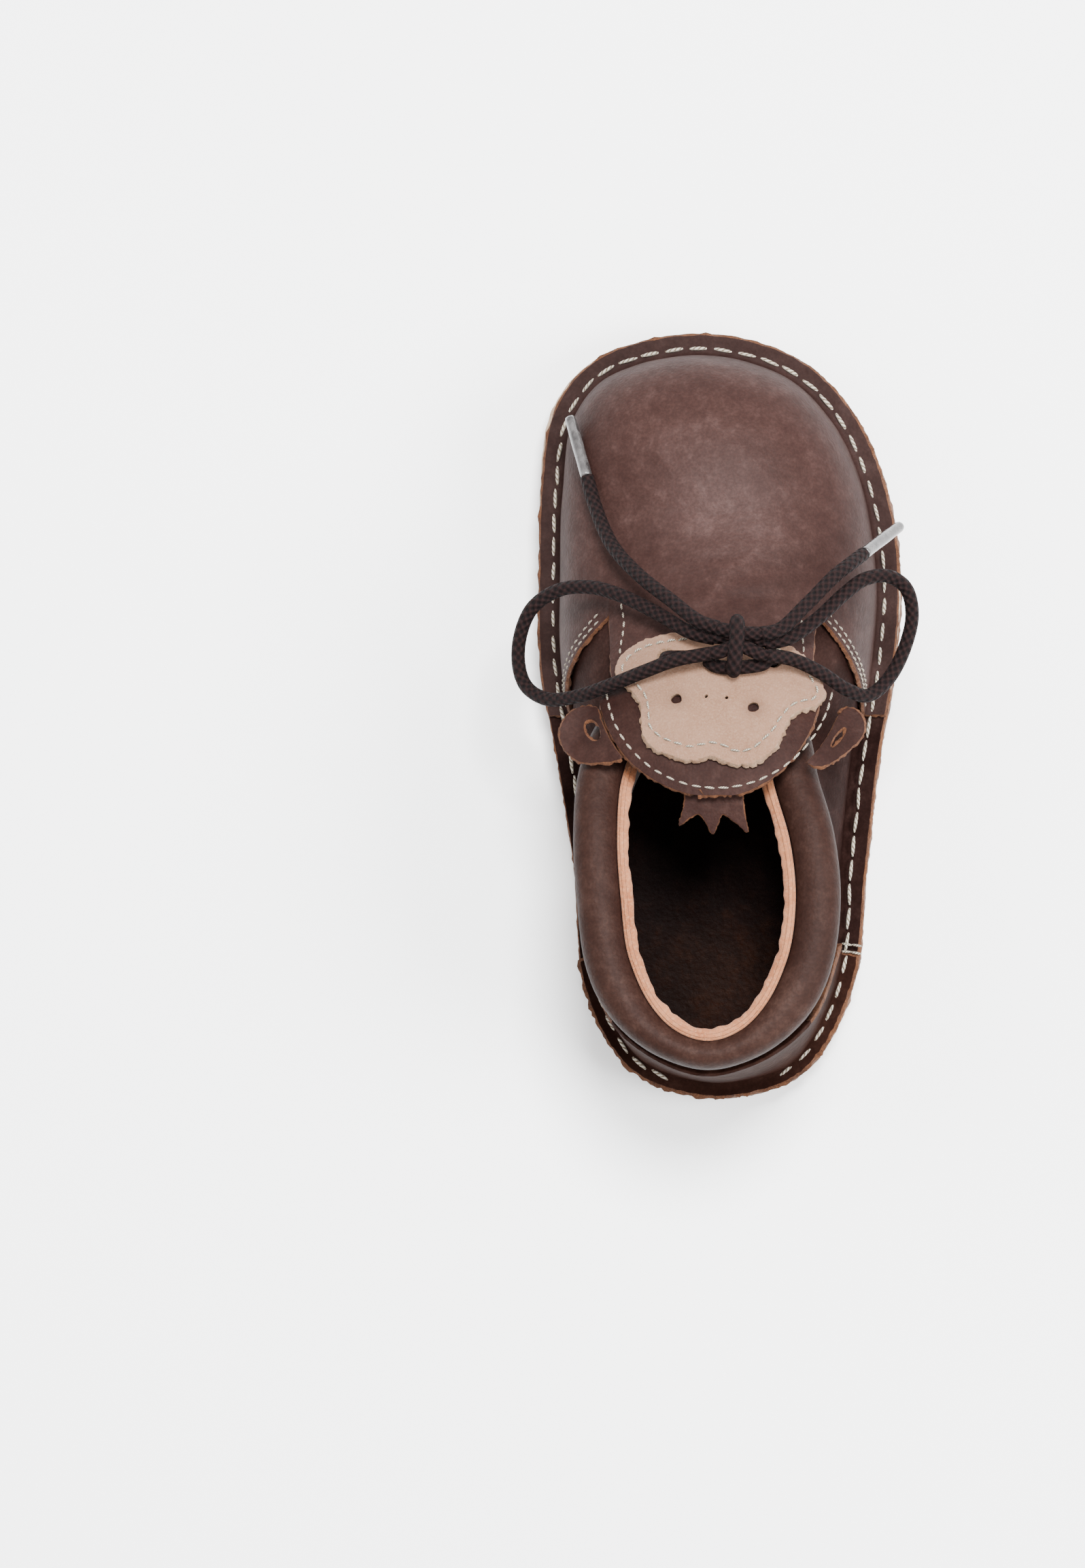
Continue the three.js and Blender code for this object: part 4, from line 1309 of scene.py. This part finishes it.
def makeCounter():
    plan = counterPlan
    share, side = roundHeel(plan["front"], plan["columns"])
    rows = wallRows(1, plan["rows"])
    top = mix(plan["heelTop"], plan["frontTop"], np.clip((np.abs(share) - 0.2) / 0.8, 0, 1) ** 1.1)
    rise = np.where(rows[None, :] > 0, rows[None, :] * top[:, None], rows[None, :])
    points = soften(quarterAt(side[:, None] * np.ones_like(rise), rise), plan["swell"], 14, 12)
    thing = sheetFrom("heelCounter", [points])
    rimJitter(thing, plan["rag"], 1.0, 4)
    flareEdges(thing, *plan["flare"])
    paintBy(thing, "pressed", footShade)
    # Painted light, stronger towards the top.
    paintBy(thing, "worn", lambda p: 0.4 * ease(p[:, 2], 18, 30))
    thicken(thing, shoe["leather"], 0.2, [leathers["counterLeather"], rawEdge], 1)
    for face in thing.data.polygons:
        if face.center.z > 40 * mm:
            face.material_index = 0
    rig.ride(thing, "shoe")
    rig.replaces(thing, "heel_counter")
    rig.slot(thing, "quarter_leather")


liningPlan = {"columns": 170, "rows": 30, "edgeWidth": 2.3}


def makeQuarterLining():
    _, side = roundHeel(shoe["throatSide"] + 0.01, liningPlan["columns"])
    rows = np.linspace(0, 1, liningPlan["rows"] + 1)
    points = liningAt(side[:, None] * np.ones_like(rows), np.ones_like(side)[:, None] * rows)
    thing = sheetFrom("quarterLining", [points])
    # Painted shade, deeper further down inside the shoe.
    paintBy(thing, "pressed", lambda p: 1 - ease(p[:, 2], 14, 42))
    thicken(thing, shoe["lining"], 0.15, [liningDark, liningSuede], 1)
    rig.ride(thing, "shoe")
    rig.replaces(thing, "quarter_lining")
    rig.slot(thing, "lining_leather")


def makeLiningEdge():
    # The folded top of the lining shows as a pale, wavy band inside the collar.
    count, across = 420, 8
    centre, outward, half = collarAt(roundCollar(count))
    wave = wander(centre * [1, 1, 0], 2.2, 5) * 0.35 + wander(centre * [1, 1, 0], 6, 9) * 0.35
    points = []
    for j in range(across + 1):
        turn = j / across * math.pi
        inner = half + shoe["gap"] - 0.55 + (liningPlan["edgeWidth"] + wave) * (0.5 - 0.5 * math.cos(turn))
        spot = centre - outward * inner[:, None]
        spot[:, 2] += shoe["collarHeight"] * 0.42 + 0.62 * math.sin(turn) - 0.5 * (1 - math.cos(turn)) / 2
        points.append(spot)
    low = points[-1].copy()
    low[:, 2] -= 3.2
    low += outward * 0.5
    points.append(low)
    ring = np.stack(points, 1)
    ring = np.concatenate([ring, ring[:1]], 0)
    thing = sheetFrom("liningEdge", [ring])
    thing.data.flip_normals()
    thicken(thing, 0.35, 0, [liningSuede, liningSuede], 1)
    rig.ride(thing, "shoe")
    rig.slot(thing, "lining_leather")


def makeVampLining():
    end = shoe["throatSide"] - 0.005
    side = np.linspace(-end, end, 90)
    height = mix(0.85, 0.5, ease(np.abs(side), 0.3, end))
    rows = np.linspace(0, 1, 20)
    points = liningAt(side[:, None] * np.ones_like(rows), height[:, None] * rows)
    thing = sheetFrom("vampLining", [points])
    thicken(thing, shoe["lining"], 0.12, [liningDark, liningSuede], 1)
    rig.ride(thing, "shoe")
    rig.replaces(thing, "vamp_lining")
    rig.slot(thing, "lining_leather")


collarPlan = {"columns": 300, "sections": 40, "pucker": 0.12}


def makeCollar():
    # A roll of soft leather over foam: full on top, drawn in at the outer seam.
    centre, outward, half = collarAt(roundCollar(collarPlan["columns"]))
    flat = centre * [1, 1, 0]
    swell = wander(flat, 19, 21) * 0.35
    pull = wander(flat, 2.6, 31)
    rows = []
    for j in range(collarPlan["sections"]):
        turn = j / collarPlan["sections"] * 2 * math.pi
        c, s = math.cos(turn), math.sin(turn)
        crown = 1 + 0.05 * max(s, 0) ** 2
        seam = math.exp(-((turn - 2 * math.pi + 0.62) / 0.32) ** 2)
        out = half * c * crown + swell * max(s, 0) - seam * 0.5 + pull * seam * collarPlan["pucker"] * 2
        spot = centre + outward * out[:, None]
        spot[:, 2] += shoe["collarHeight"] * s * (0.96 if s > 0 else 0.9) + swell * max(s, 0) * 0.5
        spot += outward * (pull * collarPlan["pucker"] * (0.35 + 0.65 * seam))[:, None] * 0.5
        rows.append(spot)
    rows.append(rows[0].copy())
    ring = np.stack(rows, 1)
    ring = np.concatenate([ring, ring[:1]], 0)
    thing = sheetFrom("collar", [ring[::-1]])
    thing.data.materials.append(leathers["collarLeather"])
    paintBy(thing, "pressed", collarShade)
    # Painted light on the top of the roll.
    paintBy(thing, "worn", lambda p: 0.3 * ease(p[:, 2], 50, 56))
    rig.ride(thing, "shoe")
    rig.replaces(thing, "collar_cover", "collar_foam")
    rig.slot(thing, "collar_leather")
    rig.padded(thing, fill=0.8)


def collarShade(p):
    # Painted shade where the roll tucks under.
    line = collarPath.at(np.linspace(0, 1, 240))
    near = np.array([np.argmin(np.sum((line[:, :2] - q[:2]) ** 2, 1)) for q in p])
    return 0.6 * ease(line[near, 2] - p[:, 2], 0.5, 4.2)


insolePlan = {"rings": 26, "columns": 150, "dish": 0.5}


def slabRings(insetAt, base, top, profile, columns, bulge=None):
    # Closed slab over the sole outline; profile lists (inset, height share) up the edge.
    side = np.linspace(-1, 1, columns, endpoint=False)
    rings = []
    for inset, high in profile:
        flat = soleAt(side, insetAt(side) + inset + (bulge(side, high) if bulge else 0))
        rings.append(np.c_[flat, np.full(columns, mix(base, top, high))])
    return rings


def closedSlab(name, rings, capRings, domeAt=None):
    # Rings run from the bottom edge to the top edge; both faces close in shrinking rings.
    low, high = rings[0], rings[-1]
    spine = np.array([[0.0, y] for y in (-52, 42)])

    def shrink(ring, share):
        y = np.clip(ring[:, 1], spine[0, 1], spine[1, 1])
        goal = np.c_[np.interp(y, [-52, -20, 10, 42], [0, -1.5, 0.5, 1]), y, ring[:, 2]]
        return mix(ring, goal, share)

    shares = np.linspace(0, 0.965, capRings + 1)[1:]
    stack = [shrink(low, s) for s in shares[::-1]] + list(rings) + [shrink(high, s) for s in shares]
    if domeAt:
        for k in range(len(rings) + capRings - 1, len(stack)):
            stack[k] = stack[k].copy()
            stack[k][:, 2] += domeAt(stack[k])
    points = np.stack(stack, 1)
    points = np.concatenate([points, points[:1]], 0)
    thing = sheetFrom(name, [points])
    work = bmesh.new()
    work.from_mesh(thing.data)
    holes = [e for e in work.edges if e.is_boundary]
    if holes:
        bmesh.ops.holes_fill(work, edges=holes, sides=0)
    bmesh.ops.recalc_face_normals(work, faces=work.faces)
    work.to_mesh(thing.data)
    work.free()
    thing.data.polygons.foreach_set("use_smooth", [True] * len(thing.data.polygons))
    return thing


def makeInsole():
    low, high = (corner[2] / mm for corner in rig.box("insole_cover"))
    profile = [(0.25, 0), (0.05, 0.08), (0, 0.35), (0.05, 0.8), (0.3, 1)]
    rings = slabRings(insideAt, low, high, profile, insolePlan["columns"])

    def dish(ring):
        heel = np.exp(-(((ring[:, 0]) / 15) ** 2 + ((ring[:, 1] + 46) / 17) ** 2))
        ball = np.exp(-(((ring[:, 0]) / 20) ** 2 + ((ring[:, 1] - 22) / 20) ** 2))
        return -insolePlan["dish"] * (heel + ball * 0.8) + wander(ring, 9, 3) * 0.12

    thing = closedSlab("insole", rings, insolePlan["rings"], dish)
    thing.data.materials.append(leathers["insoleLeather"])
    # Painted light at the heel, where light comes in at the opening.
    paintBy(thing, "worn", lambda p: 0.75 * np.exp(-((p[:, 0] / 17) ** 2 + ((p[:, 1] + 52) / 16) ** 2)))
    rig.ride(thing, "shoe")
    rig.replaces(thing, "insole_cover")
    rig.slot(thing, "insole_leather")


solePlan = {"columns": 620, "rough": 0.34, "midRough": 0.16}


def makeOutsole():
    low, high = (corner[2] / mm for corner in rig.box("outsole"))

    def bumps(side, level):
        ring = np.c_[soleAt(side, 0 * side), np.full(len(side), level * 4.5)]
        push = wander(ring, 1.6, 2) * 0.6 + wander(ring, 0.8, 5) * 0.5 + wander(ring, 5, 8) * 0.5
        return 0.3 - push * solePlan["rough"] * 1.2

    profile = [(0.5, 0), (0.12, 0.04), (0, 0.16), (0, 0.33), (0, 0.5), (0, 0.67), (0, 0.84), (0.1, 0.96),
               (0.4, 1)]
    thing = closedSlab("outsole", slabRings(lambda s: 0 * s, low, high, profile, solePlan["columns"], bumps), 6)
    thing.data.materials.append(crepe)
    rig.ride(thing, "shoe")
    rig.replaces(thing, "outsole")
    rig.slot(thing, "crepe_outsole")


def makeMidsole():
    low, high = (corner[2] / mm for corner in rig.box("midsole"))

    def shift(side):
        # Stands proud of the flange at the medial toe and a little along the lateral side.
        proud = 1.5 * np.exp(-((side + 0.2) / 0.13) ** 2) + 0.75 * np.exp(-((side - 0.4) / 0.16) ** 2)
        return 1.15 - proud

    def bumps(side, level):
        ring = np.c_[soleAt(side, 0 * side), np.full(len(side), level * 2.7)]
        return -wander(ring, 1.8, 12) * solePlan["midRough"] - wander(ring, 7, 4) * 0.15

    profile = [(0.25, 0), (0.05, 0.1), (0, 0.35), (0, 0.65), (0.05, 0.9), (0.25, 1)]
    thing = closedSlab("midsole", slabRings(shift, low, high, profile, solePlan["columns"], bumps), 6)
    thing.data.materials.append(paleMidsole)
    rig.ride(thing, "shoe")
    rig.replaces(thing, "midsole")
    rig.slot(thing, "pale_midsole")


patchPlan = {
    "outline": [
        [1.8, 15.1], [-4, 14.9], [-9.5, 14.3], [-14.3, 12.8], [-17.7, 9.8], [-18.2, 6.9], [-15.3, 3.9],
        [-13.4, 1.6], [-12.8, -2], [-12.5, -5], [-10.6, -7.6], [-7, -9.2], [-2.7, -10.2], [1, -9.4],
        [5, -10.9], [8.6, -10.7], [11.6, -9], [14, -6.2], [15.2, -3], [17.2, -0.6], [21.2, 0.8],
        [22.4, 3], [20.6, 7], [17.4, 11], [12.8, 13.2], [7.4, 14.6],
    ],
    "eyes": [[-6.1, 1.8], [8.8, 0.1]], "eyeSize": [2.2, 1.9],
    "nostrils": [[-0.3, 2.3], [3.6, 2]], "nostrilSize": 0.7, "thickness": 1.5, "spacing": 0.5,
}


def makePatch():
    plan = patchPlan
    holes = [ovalRing(x, y, *plan["eyeSize"]) for x, y in plan["eyes"]]
    holes += [ovalRing(x, y, plan["nostrilSize"], plan["nostrilSize"], count=10) for x, y in plan["nostrils"]]
    holes += [ovalRing(holePlan["x"] + w * holePlan["spread"], holePlan["y"], holePlan["diameter"],
                       holePlan["diameter"]) for w in (-1, 1)]

    def height(x, y):
        spots = np.c_[x, y, np.zeros(len(x))]
        sag = wander(spots, 8, 17) * 0.12
        eye = sum(0.28 * np.exp(-(((x - ex) / 2.0) ** 2 + ((y - ey) / 1.8) ** 2)) for ex, ey in plan["eyes"])
        return flapHeight(x, y) + shoe["gap"] + plan["thickness"] + sag - eye

    thing = clothFrom("facePatch", plan["outline"], holes, plan["spacing"], height, 0.42, 6)
    # Painted shade in the dips round the eyes.
    paintBy(thing, "pressed", lambda p: sum(np.exp(-(((p[:, 0] - x) / 1.9) ** 2 + ((p[:, 1] - y) / 1.7) ** 2))
                                            for x, y in plan["eyes"]))
    flareEdges(thing, 0.75, 1.0, where=lambda p: math.hypot((p.x - 2.1) / 15.5, (p.y - 3) / 9.5) > 0.8)
    thicken(thing, plan["thickness"] * 0.75, 0.2, [patchSuede, paleEdge], 1)
    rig.blend(thing, "shoe", "head", **headBlend)
    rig.replaces(thing, "face_patch_front", "face_patch_rear")
    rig.slot(thing, "patch_suede")


earPlan = {
    "medialEar": {
        "points": [[-16.6, -9.4], [-19, -3], [-21.6, 0.2], [-25.4, 0.4], [-28.4, -2.4], [-28.6, -6.6],
                   [-25.4, -10], [-20.4, -10.4]],
        "centre": [-23.2, -5.2], "hole": [-22.6, -4.1, 3.0, 4.6, 0.5], "body": "inner_ear",
        "node": "medial_ear", "cup": 0.5,
    },
    "lateralEar": {
        "points": [[19.2, -10.6], [22.2, -11.2], [26.6, -8.4], [29.8, -4.6], [29.2, -1.2], [26.6, 0.2],
                   [24.2, -2.4], [21.6, -6.8]],
        "centre": [25, -5.4], "hole": [25, -5.6, 1.5, 4.8, -0.6], "body": "outer_ear",
        "node": "lateral_ear", "cup": 0.7,
    },
}


def makeEar(name, points, centre, hole, body, node, cup):
    clear = shoe["headRadius"] + 0.6
    line = Path([[*p, 0] for p in points], True).at(np.linspace(0, 1, 90, endpoint=False))[:, :2]
    away = line - [shoe["headX"], shoe["headY"]]
    reach = np.linalg.norm(away, axis=1, keepdims=True)
    line = np.array([shoe["headX"], shoe["headY"]]) + away / reach * np.maximum(reach, clear)

    def height(x, y):
        one, two = flapHeight(x, y), ridgeHeight(y) - 7.6
        plain = (one + two + np.sqrt((one - two) ** 2 + 1.4)) / 2
        far = np.hypot(x - centre[0], y - centre[1]) / 6
        return plain + cup * 0.5 * np.clip(far, 0, 1) ** 2 + wander(np.c_[x, y, 0 * x], 6, 3) * 0.2

    thing = clothFrom(name, line, [ovalRing(*hole)], 0.5, height, 0.2, 8)
    # Painted shade round the ear's hole.
    paintBy(thing, "pressed", lambda p: 0.4 * np.exp(-(((p[:, 0] - hole[0]) / 3) ** 2
                                                      + ((p[:, 1] - hole[1]) / 3.4) ** 2)))
    flareEdges(thing, 0.5, 0.5,
               where=lambda p: math.hypot(p.x - shoe["headX"], p.y - shoe["headY"]) > clear + 0.3)
    thicken(thing, 1.0, 0.2, [leathers["headLeather"], rawEdge], 1)
    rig.ride(thing, body)
    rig.replaces(thing, node)
    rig.slot(thing, "upper_leather")


tuftPlan = {"root": -14.2, "outline": [
    [-3.9, -14.2], [-4.2, -16.4], [-4.6, -19], [-5.5, -22.6], [-3.4, -21], [-1.7, -20.5], [-0.4, -22],
    [0.9, -24.3], [1.9, -22.2], [2.9, -20.5], [5, -21.8], [7.6, -23.9], [7.0, -20.5], [6.7, -17.6],
    [6.4, -14.2], [1.2, -14.3],
]}


def makeTuft():
    low, high = (corner[2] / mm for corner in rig.box("hair_tuft"))
    thing = clothFrom("hairTuft", tuftPlan["outline"], [], 0.4,
                      lambda x, y: high - 0.007 * (y - tuftPlan["root"]) ** 2, 0.16, 5)
    # Painted shade where the tuft's root tucks under the head's edge.
    paintBy(thing, "pressed", lambda p: 0.5 * ease(p[:, 1], -17.6, -14.6))
    flareEdges(thing, 0.28, 0.4, where=lambda p: p.y < -15)
    thicken(thing, (high - low) * 0.85, 0.15, [leathers["headLeather"], rawEdge], 1)
    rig.ride(thing, "tuft")
    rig.replaces(thing, "hair_tuft")
    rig.slot(thing, "upper_leather")


# One tree lays a thread stitch at every step along a line.
def stitchTree():
    tree = bpy.data.node_groups.new("stitchRow", "GeometryNodeTree")
    face = tree.interface
    face.new_socket("Geometry", in_out="INPUT", socket_type="NodeSocketGeometry")
    for label in ("Pitch", "Stitch", "Thread", "Arch"):
        face.new_socket(label, in_out="INPUT", socket_type="NodeSocketFloat")
    face.new_socket("Seed", in_out="INPUT", socket_type="NodeSocketInt")
    face.new_socket("Finish", in_out="INPUT", socket_type="NodeSocketMaterial")
    face.new_socket("Geometry", in_out="OUTPUT", socket_type="NodeSocketGeometry")

    def node(kind, settings=None, inputs=None, output=0):
        made = tree.nodes.new(kind)
        for key, value in (settings or {}).items():
            setattr(made, key, value)
        for key, value in (inputs or {}).items():
            if isinstance(value, bpy.types.NodeSocket):
                tree.links.new(value, made.inputs[key])
            else:
                made.inputs[key].default_value = value
        return made.outputs[output]

    def maths(operation, one, two):
        return node("ShaderNodeMath", {"operation": operation}, {0: one, 1: two})

    given = tree.nodes.new("NodeGroupInput").outputs
    half = maths("MULTIPLY", given["Stitch"], 0.5)
    sink = maths("MULTIPLY", given["Thread"], -0.35)
    start = node("ShaderNodeCombineXYZ", {}, {0: maths("MULTIPLY", half, -1), 2: sink})
    top = node("ShaderNodeCombineXYZ", {}, {2: given["Arch"]})
    end = node("ShaderNodeCombineXYZ", {}, {0: half, 2: sink})
    arch = node("GeometryNodeCurveQuadraticBezier", {},
                {"Resolution": 6, "Start": start, "Middle": top, "End": end})
    along = node("GeometryNodeSplineParameter")
    arch = node("GeometryNodeStoreNamedAttribute", {"data_type": "FLOAT", "domain": "POINT"},
                {"Geometry": arch, "Name": "threadAlong", "Value": along})
    taper = maths("POWER", maths("SINE", maths("ADD", maths("MULTIPLY", along, 2.7), 0.22), 0), 0.45)
    size = maths("MULTIPLY", maths("MULTIPLY", given["Thread"], 0.5), taper)
    section = node("GeometryNodeCurvePrimitiveCircle", {}, {"Resolution": 6, "Radius": 1})
    around = maths("DIVIDE", node("GeometryNodeInputIndex"), 6)
    section = node("GeometryNodeStoreNamedAttribute", {"data_type": "FLOAT", "domain": "POINT"},
                   {"Geometry": section, "Name": "threadAround", "Value": around})
    sized = {"Curve": arch, "Profile Curve": section, "Fill Caps": True}
    probe = tree.nodes.new("GeometryNodeCurveToMesh")
    if "Scale" in probe.inputs:
        sized["Scale"] = size
    else:
        sized["Curve"] = node("GeometryNodeSetCurveRadius", {}, {"Curve": arch, "Radius": size})
    tree.nodes.remove(probe)
    stitch = node("GeometryNodeCurveToMesh", {}, sized)
    stitch = node("GeometryNodeSetShadeSmooth", {}, {"Geometry": stitch})
    line = node("GeometryNodeMeshToCurve", {}, {"Mesh": given["Geometry"]})
    line = node("GeometryNodeResampleCurve", {"mode": "LENGTH"}, {"Curve": line, "Length": given["Pitch"]})
    up = node("GeometryNodeInputNamedAttribute", {"data_type": "FLOAT_VECTOR"}, {"Name": "surfaceUp"})
    turn = node("FunctionNodeAxesToRotation", {"primary_axis": "X", "secondary_axis": "Z"},
                {"Primary Axis": node("GeometryNodeInputTangent"), "Secondary Axis": up})
    sway = node("FunctionNodeRandomValue", {"data_type": "FLOAT_VECTOR"},
                {"Min": (-0.03, -0.1, -0.09), "Max": (0.03, 0.1, 0.09), "Seed": given["Seed"]})
    turn = node("FunctionNodeRotateRotation", {"rotation_space": "LOCAL"},
                {"Rotation": turn, "Rotate By": node("FunctionNodeEulerToRotation", {}, {"Euler": sway})})
    grow = node("FunctionNodeRandomValue", {"data_type": "FLOAT_VECTOR"},
                {"Min": (0.93, 0.9, 0.9), "Max": (1.05, 1.1, 1.1), "Seed": given["Seed"]})
    rows = node("GeometryNodeInstanceOnPoints", {},
                {"Points": line, "Instance": stitch, "Rotation": turn, "Scale": grow})
    rows = node("GeometryNodeRealizeInstances", {}, {"Geometry": rows})
    rows = node("GeometryNodeSetMaterial", {}, {"Geometry": rows, "Material": given["Finish"]})
    tree.links.new(rows, tree.nodes.new("NodeGroupOutput").inputs[0])
    return tree


stitchKinds = {
    "welt": {"Pitch": 4.7, "Stitch": 4.05, "Thread": 0.76, "Arch": 0.75},
    "head": {"Pitch": 2.55, "Stitch": 1.85, "Thread": 0.46, "Arch": 0.4},
    "wing": {"Pitch": 1.75, "Stitch": 1.35, "Thread": 0.42, "Arch": 0.36},
    "patch": {"Pitch": 2.3, "Stitch": 1.7, "Thread": 0.46, "Arch": 0.62},
    "bartack": {"Pitch": 1.9, "Stitch": 2.0, "Thread": 0.5, "Arch": 0.5},
    "shoulder": {"Pitch": 1.9, "Stitch": 1.45, "Thread": 0.44, "Arch": 0.38},
}


def sewRows(name, kind, rows, tree):
    # rows is a list of (points, ups); the result is one plain mesh.
    points, edges, ups = [], [], []
    for spots, normals in rows:
        first = len(points)
        points.extend(spots)
        ups.extend(normals)
        edges.extend((first + i, first + i + 1) for i in range(len(spots) - 1))
    mesh = bpy.data.meshes.new(name)
    mesh.from_pydata([tuple(p * mm) for p in points], edges, [])
    mesh.attributes.new("surfaceUp", "FLOAT_VECTOR", "POINT").data.foreach_set("vector", np.ravel(ups))
    thing = bpy.data.objects.new(name, mesh)
    bpy.context.scene.collection.objects.link(thing)
    sewing = thing.modifiers.new("stitches", "NODES")
    sewing.node_group = tree
    sockets = {item.name: item.identifier for item in tree.interface.items_tree if item.in_out == "INPUT"}
    for label, value in stitchKinds[kind].items():
        sewing[sockets[label]] = value * mm
    sewing[sockets["Seed"]] = 7
    sewing[sockets["Finish"]] = thread
    finishMesh(thing)
    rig.slot(thing, "lace")
    return thing


def rowOn(surface, count=260):
    # surface(share, nudge) gives points; the up direction comes from its own slope.
    share = np.linspace(0, 1, count)
    spots, ahead, beside = surface(share, 0.0), surface(share + 1e-3, 0.0), surface(share, 1e-2)
    up = np.cross(ahead - spots, beside - spots)
    up /= np.maximum(np.linalg.norm(up, axis=1, keepdims=True), 1e-9)
    up *= np.where(up[:, 2:] < 0, -1, 1)
    return spots + up * 0.05, up


seams = {"weltInset": 3.3, "weltEnds": (-0.93, 0.92), "wingEnds": (0.03, 0.52), "wingInsets": (0.9, 2.4),
         "bartackSide": 0.762, "bartackInsets": (0.9, 2.9), "shoulderRise": 0.665,
         "headRadius": 22.0, "headTurn": (190.5, 349.5), "patchInset": 1.5, "patchInsetLow": 2.6}


def seamRows():
    def welt(share, nudge):
        side = mix(*seams["weltEnds"], share)
        flat = soleAt(side, np.minimum(seams["weltInset"], flangeAt(side) - 0.7) + nudge)
        return np.c_[flat, np.full(len(share), shoe["flangeTop"])]

    def wing(way, inset):
        def surface(share, nudge):
            rise = mix(*seams["wingEnds"], share)
            side = sideWhere(shoe["notchY"] * rise / shoe["notchRise"] + inset + nudge, rise, way)
            return vampAt(side, rise)
        return surface

    def bartack(offset):
        def surface(share, nudge):
            side = np.full_like(share, seams["bartackSide"] + offset) + nudge * 0.01
            flat = soleAt(side, mix(*seams["bartackInsets"], share))
            return np.c_[flat, np.full(len(share), shoe["flangeTop"] + 0.25)]
        return surface

    def shoulder(way):
        def surface(share, nudge):
            rise = np.full_like(share, seams["shoulderRise"]) + nudge * 0.03 + 0.012 * np.sin(share * 7)
            side = sideWhere(mix(shoe["notchY"] + 1.6, shoe["hingeY"] + 0.4, share), rise, way)
            return vampAt(side, rise)
        return surface

    def headRow(share, nudge):
        turn = mix(*(math.radians(a) for a in seams["headTurn"]), share)
        radius = seams["headRadius"] - nudge
        x = shoe["headX"] + radius * np.cos(turn)
        y = shoe["headY"] + radius * np.sin(turn)
        return np.c_[x, y, flapHeight(x, y)]

    outline = Path([[*p, 0] for p in patchPlan["outline"]], True)

    def patchRow(share, nudge):
        spots, way = outline.at(np.mod(share, 1)), outline.along(np.mod(share, 1))
        inset = mix(seams["patchInset"], seams["patchInsetLow"], ease(-spots[:, 1], 2, 8)) + nudge
        x, y = spots[:, 0] - way[:, 1] * inset, spots[:, 1] + way[:, 0] * inset
        return np.c_[x, y, flapHeight(x, y) + shoe["gap"] + patchPlan["thickness"]]

    return {"welt": [rowOn(welt, 700)],
            "wing": [rowOn(wing(way, inset)) for way in (-1, 1) for inset in seams["wingInsets"]],
            "bartack": [rowOn(bartack(offset), 12) for offset in (-0.004, 0.004)],
            "head": [rowOn(headRow)],
            "shoulder": [rowOn(shoulder(way)) for way in (-1, 1)],
            "patch": [rowOn(patchRow, 420)]}


def sewAll():
    tree = stitchTree()
    rows = seamRows()
    for name, kind in (("weltStitches", "welt"), ("wingStitches", "wing"), ("bartack", "bartack")):
        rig.ride(sewRows(name, kind, rows[kind], tree), "shoe")
    for name, kind in (("headStitches", "head"), ("patchStitches", "patch"),
                       ("shoulderStitches", "shoulder")):
        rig.blend(sewRows(name, kind, rows[kind], tree), "shoe", "head", **headBlend)


# Pieces hidden inside keep their own shape and get a finish.
hiddenFinishes = {"toe_puff": darkEdge, "heel_stiffener": boardFinish, "insole_board": boardFinish}


def finishHidden():
    for node, material in hiddenFinishes.items():
        thing = bpy.data.objects.get(node)
        if thing:
            for slot in thing.material_slots:
                slot.material = material


makeVamp()
print("vamp and head made")
makeQuarter("medialQuarter", -1, "medial_quarter")
makeQuarter("lateralQuarter", 1, "lateral_quarter")
makeCounter()
print("quarters and counter made")
makeQuarterLining()
makeLiningEdge()
makeVampLining()
makeCollar()
makeInsole()
print("linings, collar and insole made")
makeOutsole()
makeMidsole()
print("soles made")
makePatch()
for earName, ear in earPlan.items():
    makeEar(earName, **ear)
makeTuft()
print("patch, ears and tuft made")
sewAll()
print("seams sewn")
finishHidden()

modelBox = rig.bounds()
with open("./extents.json", "w") as file:
    json.dump({"cad": [[float(v) for v in corner] for corner in cadBox],
               "visual": [[float(v) for v in corner] for corner in modelBox]}, file)
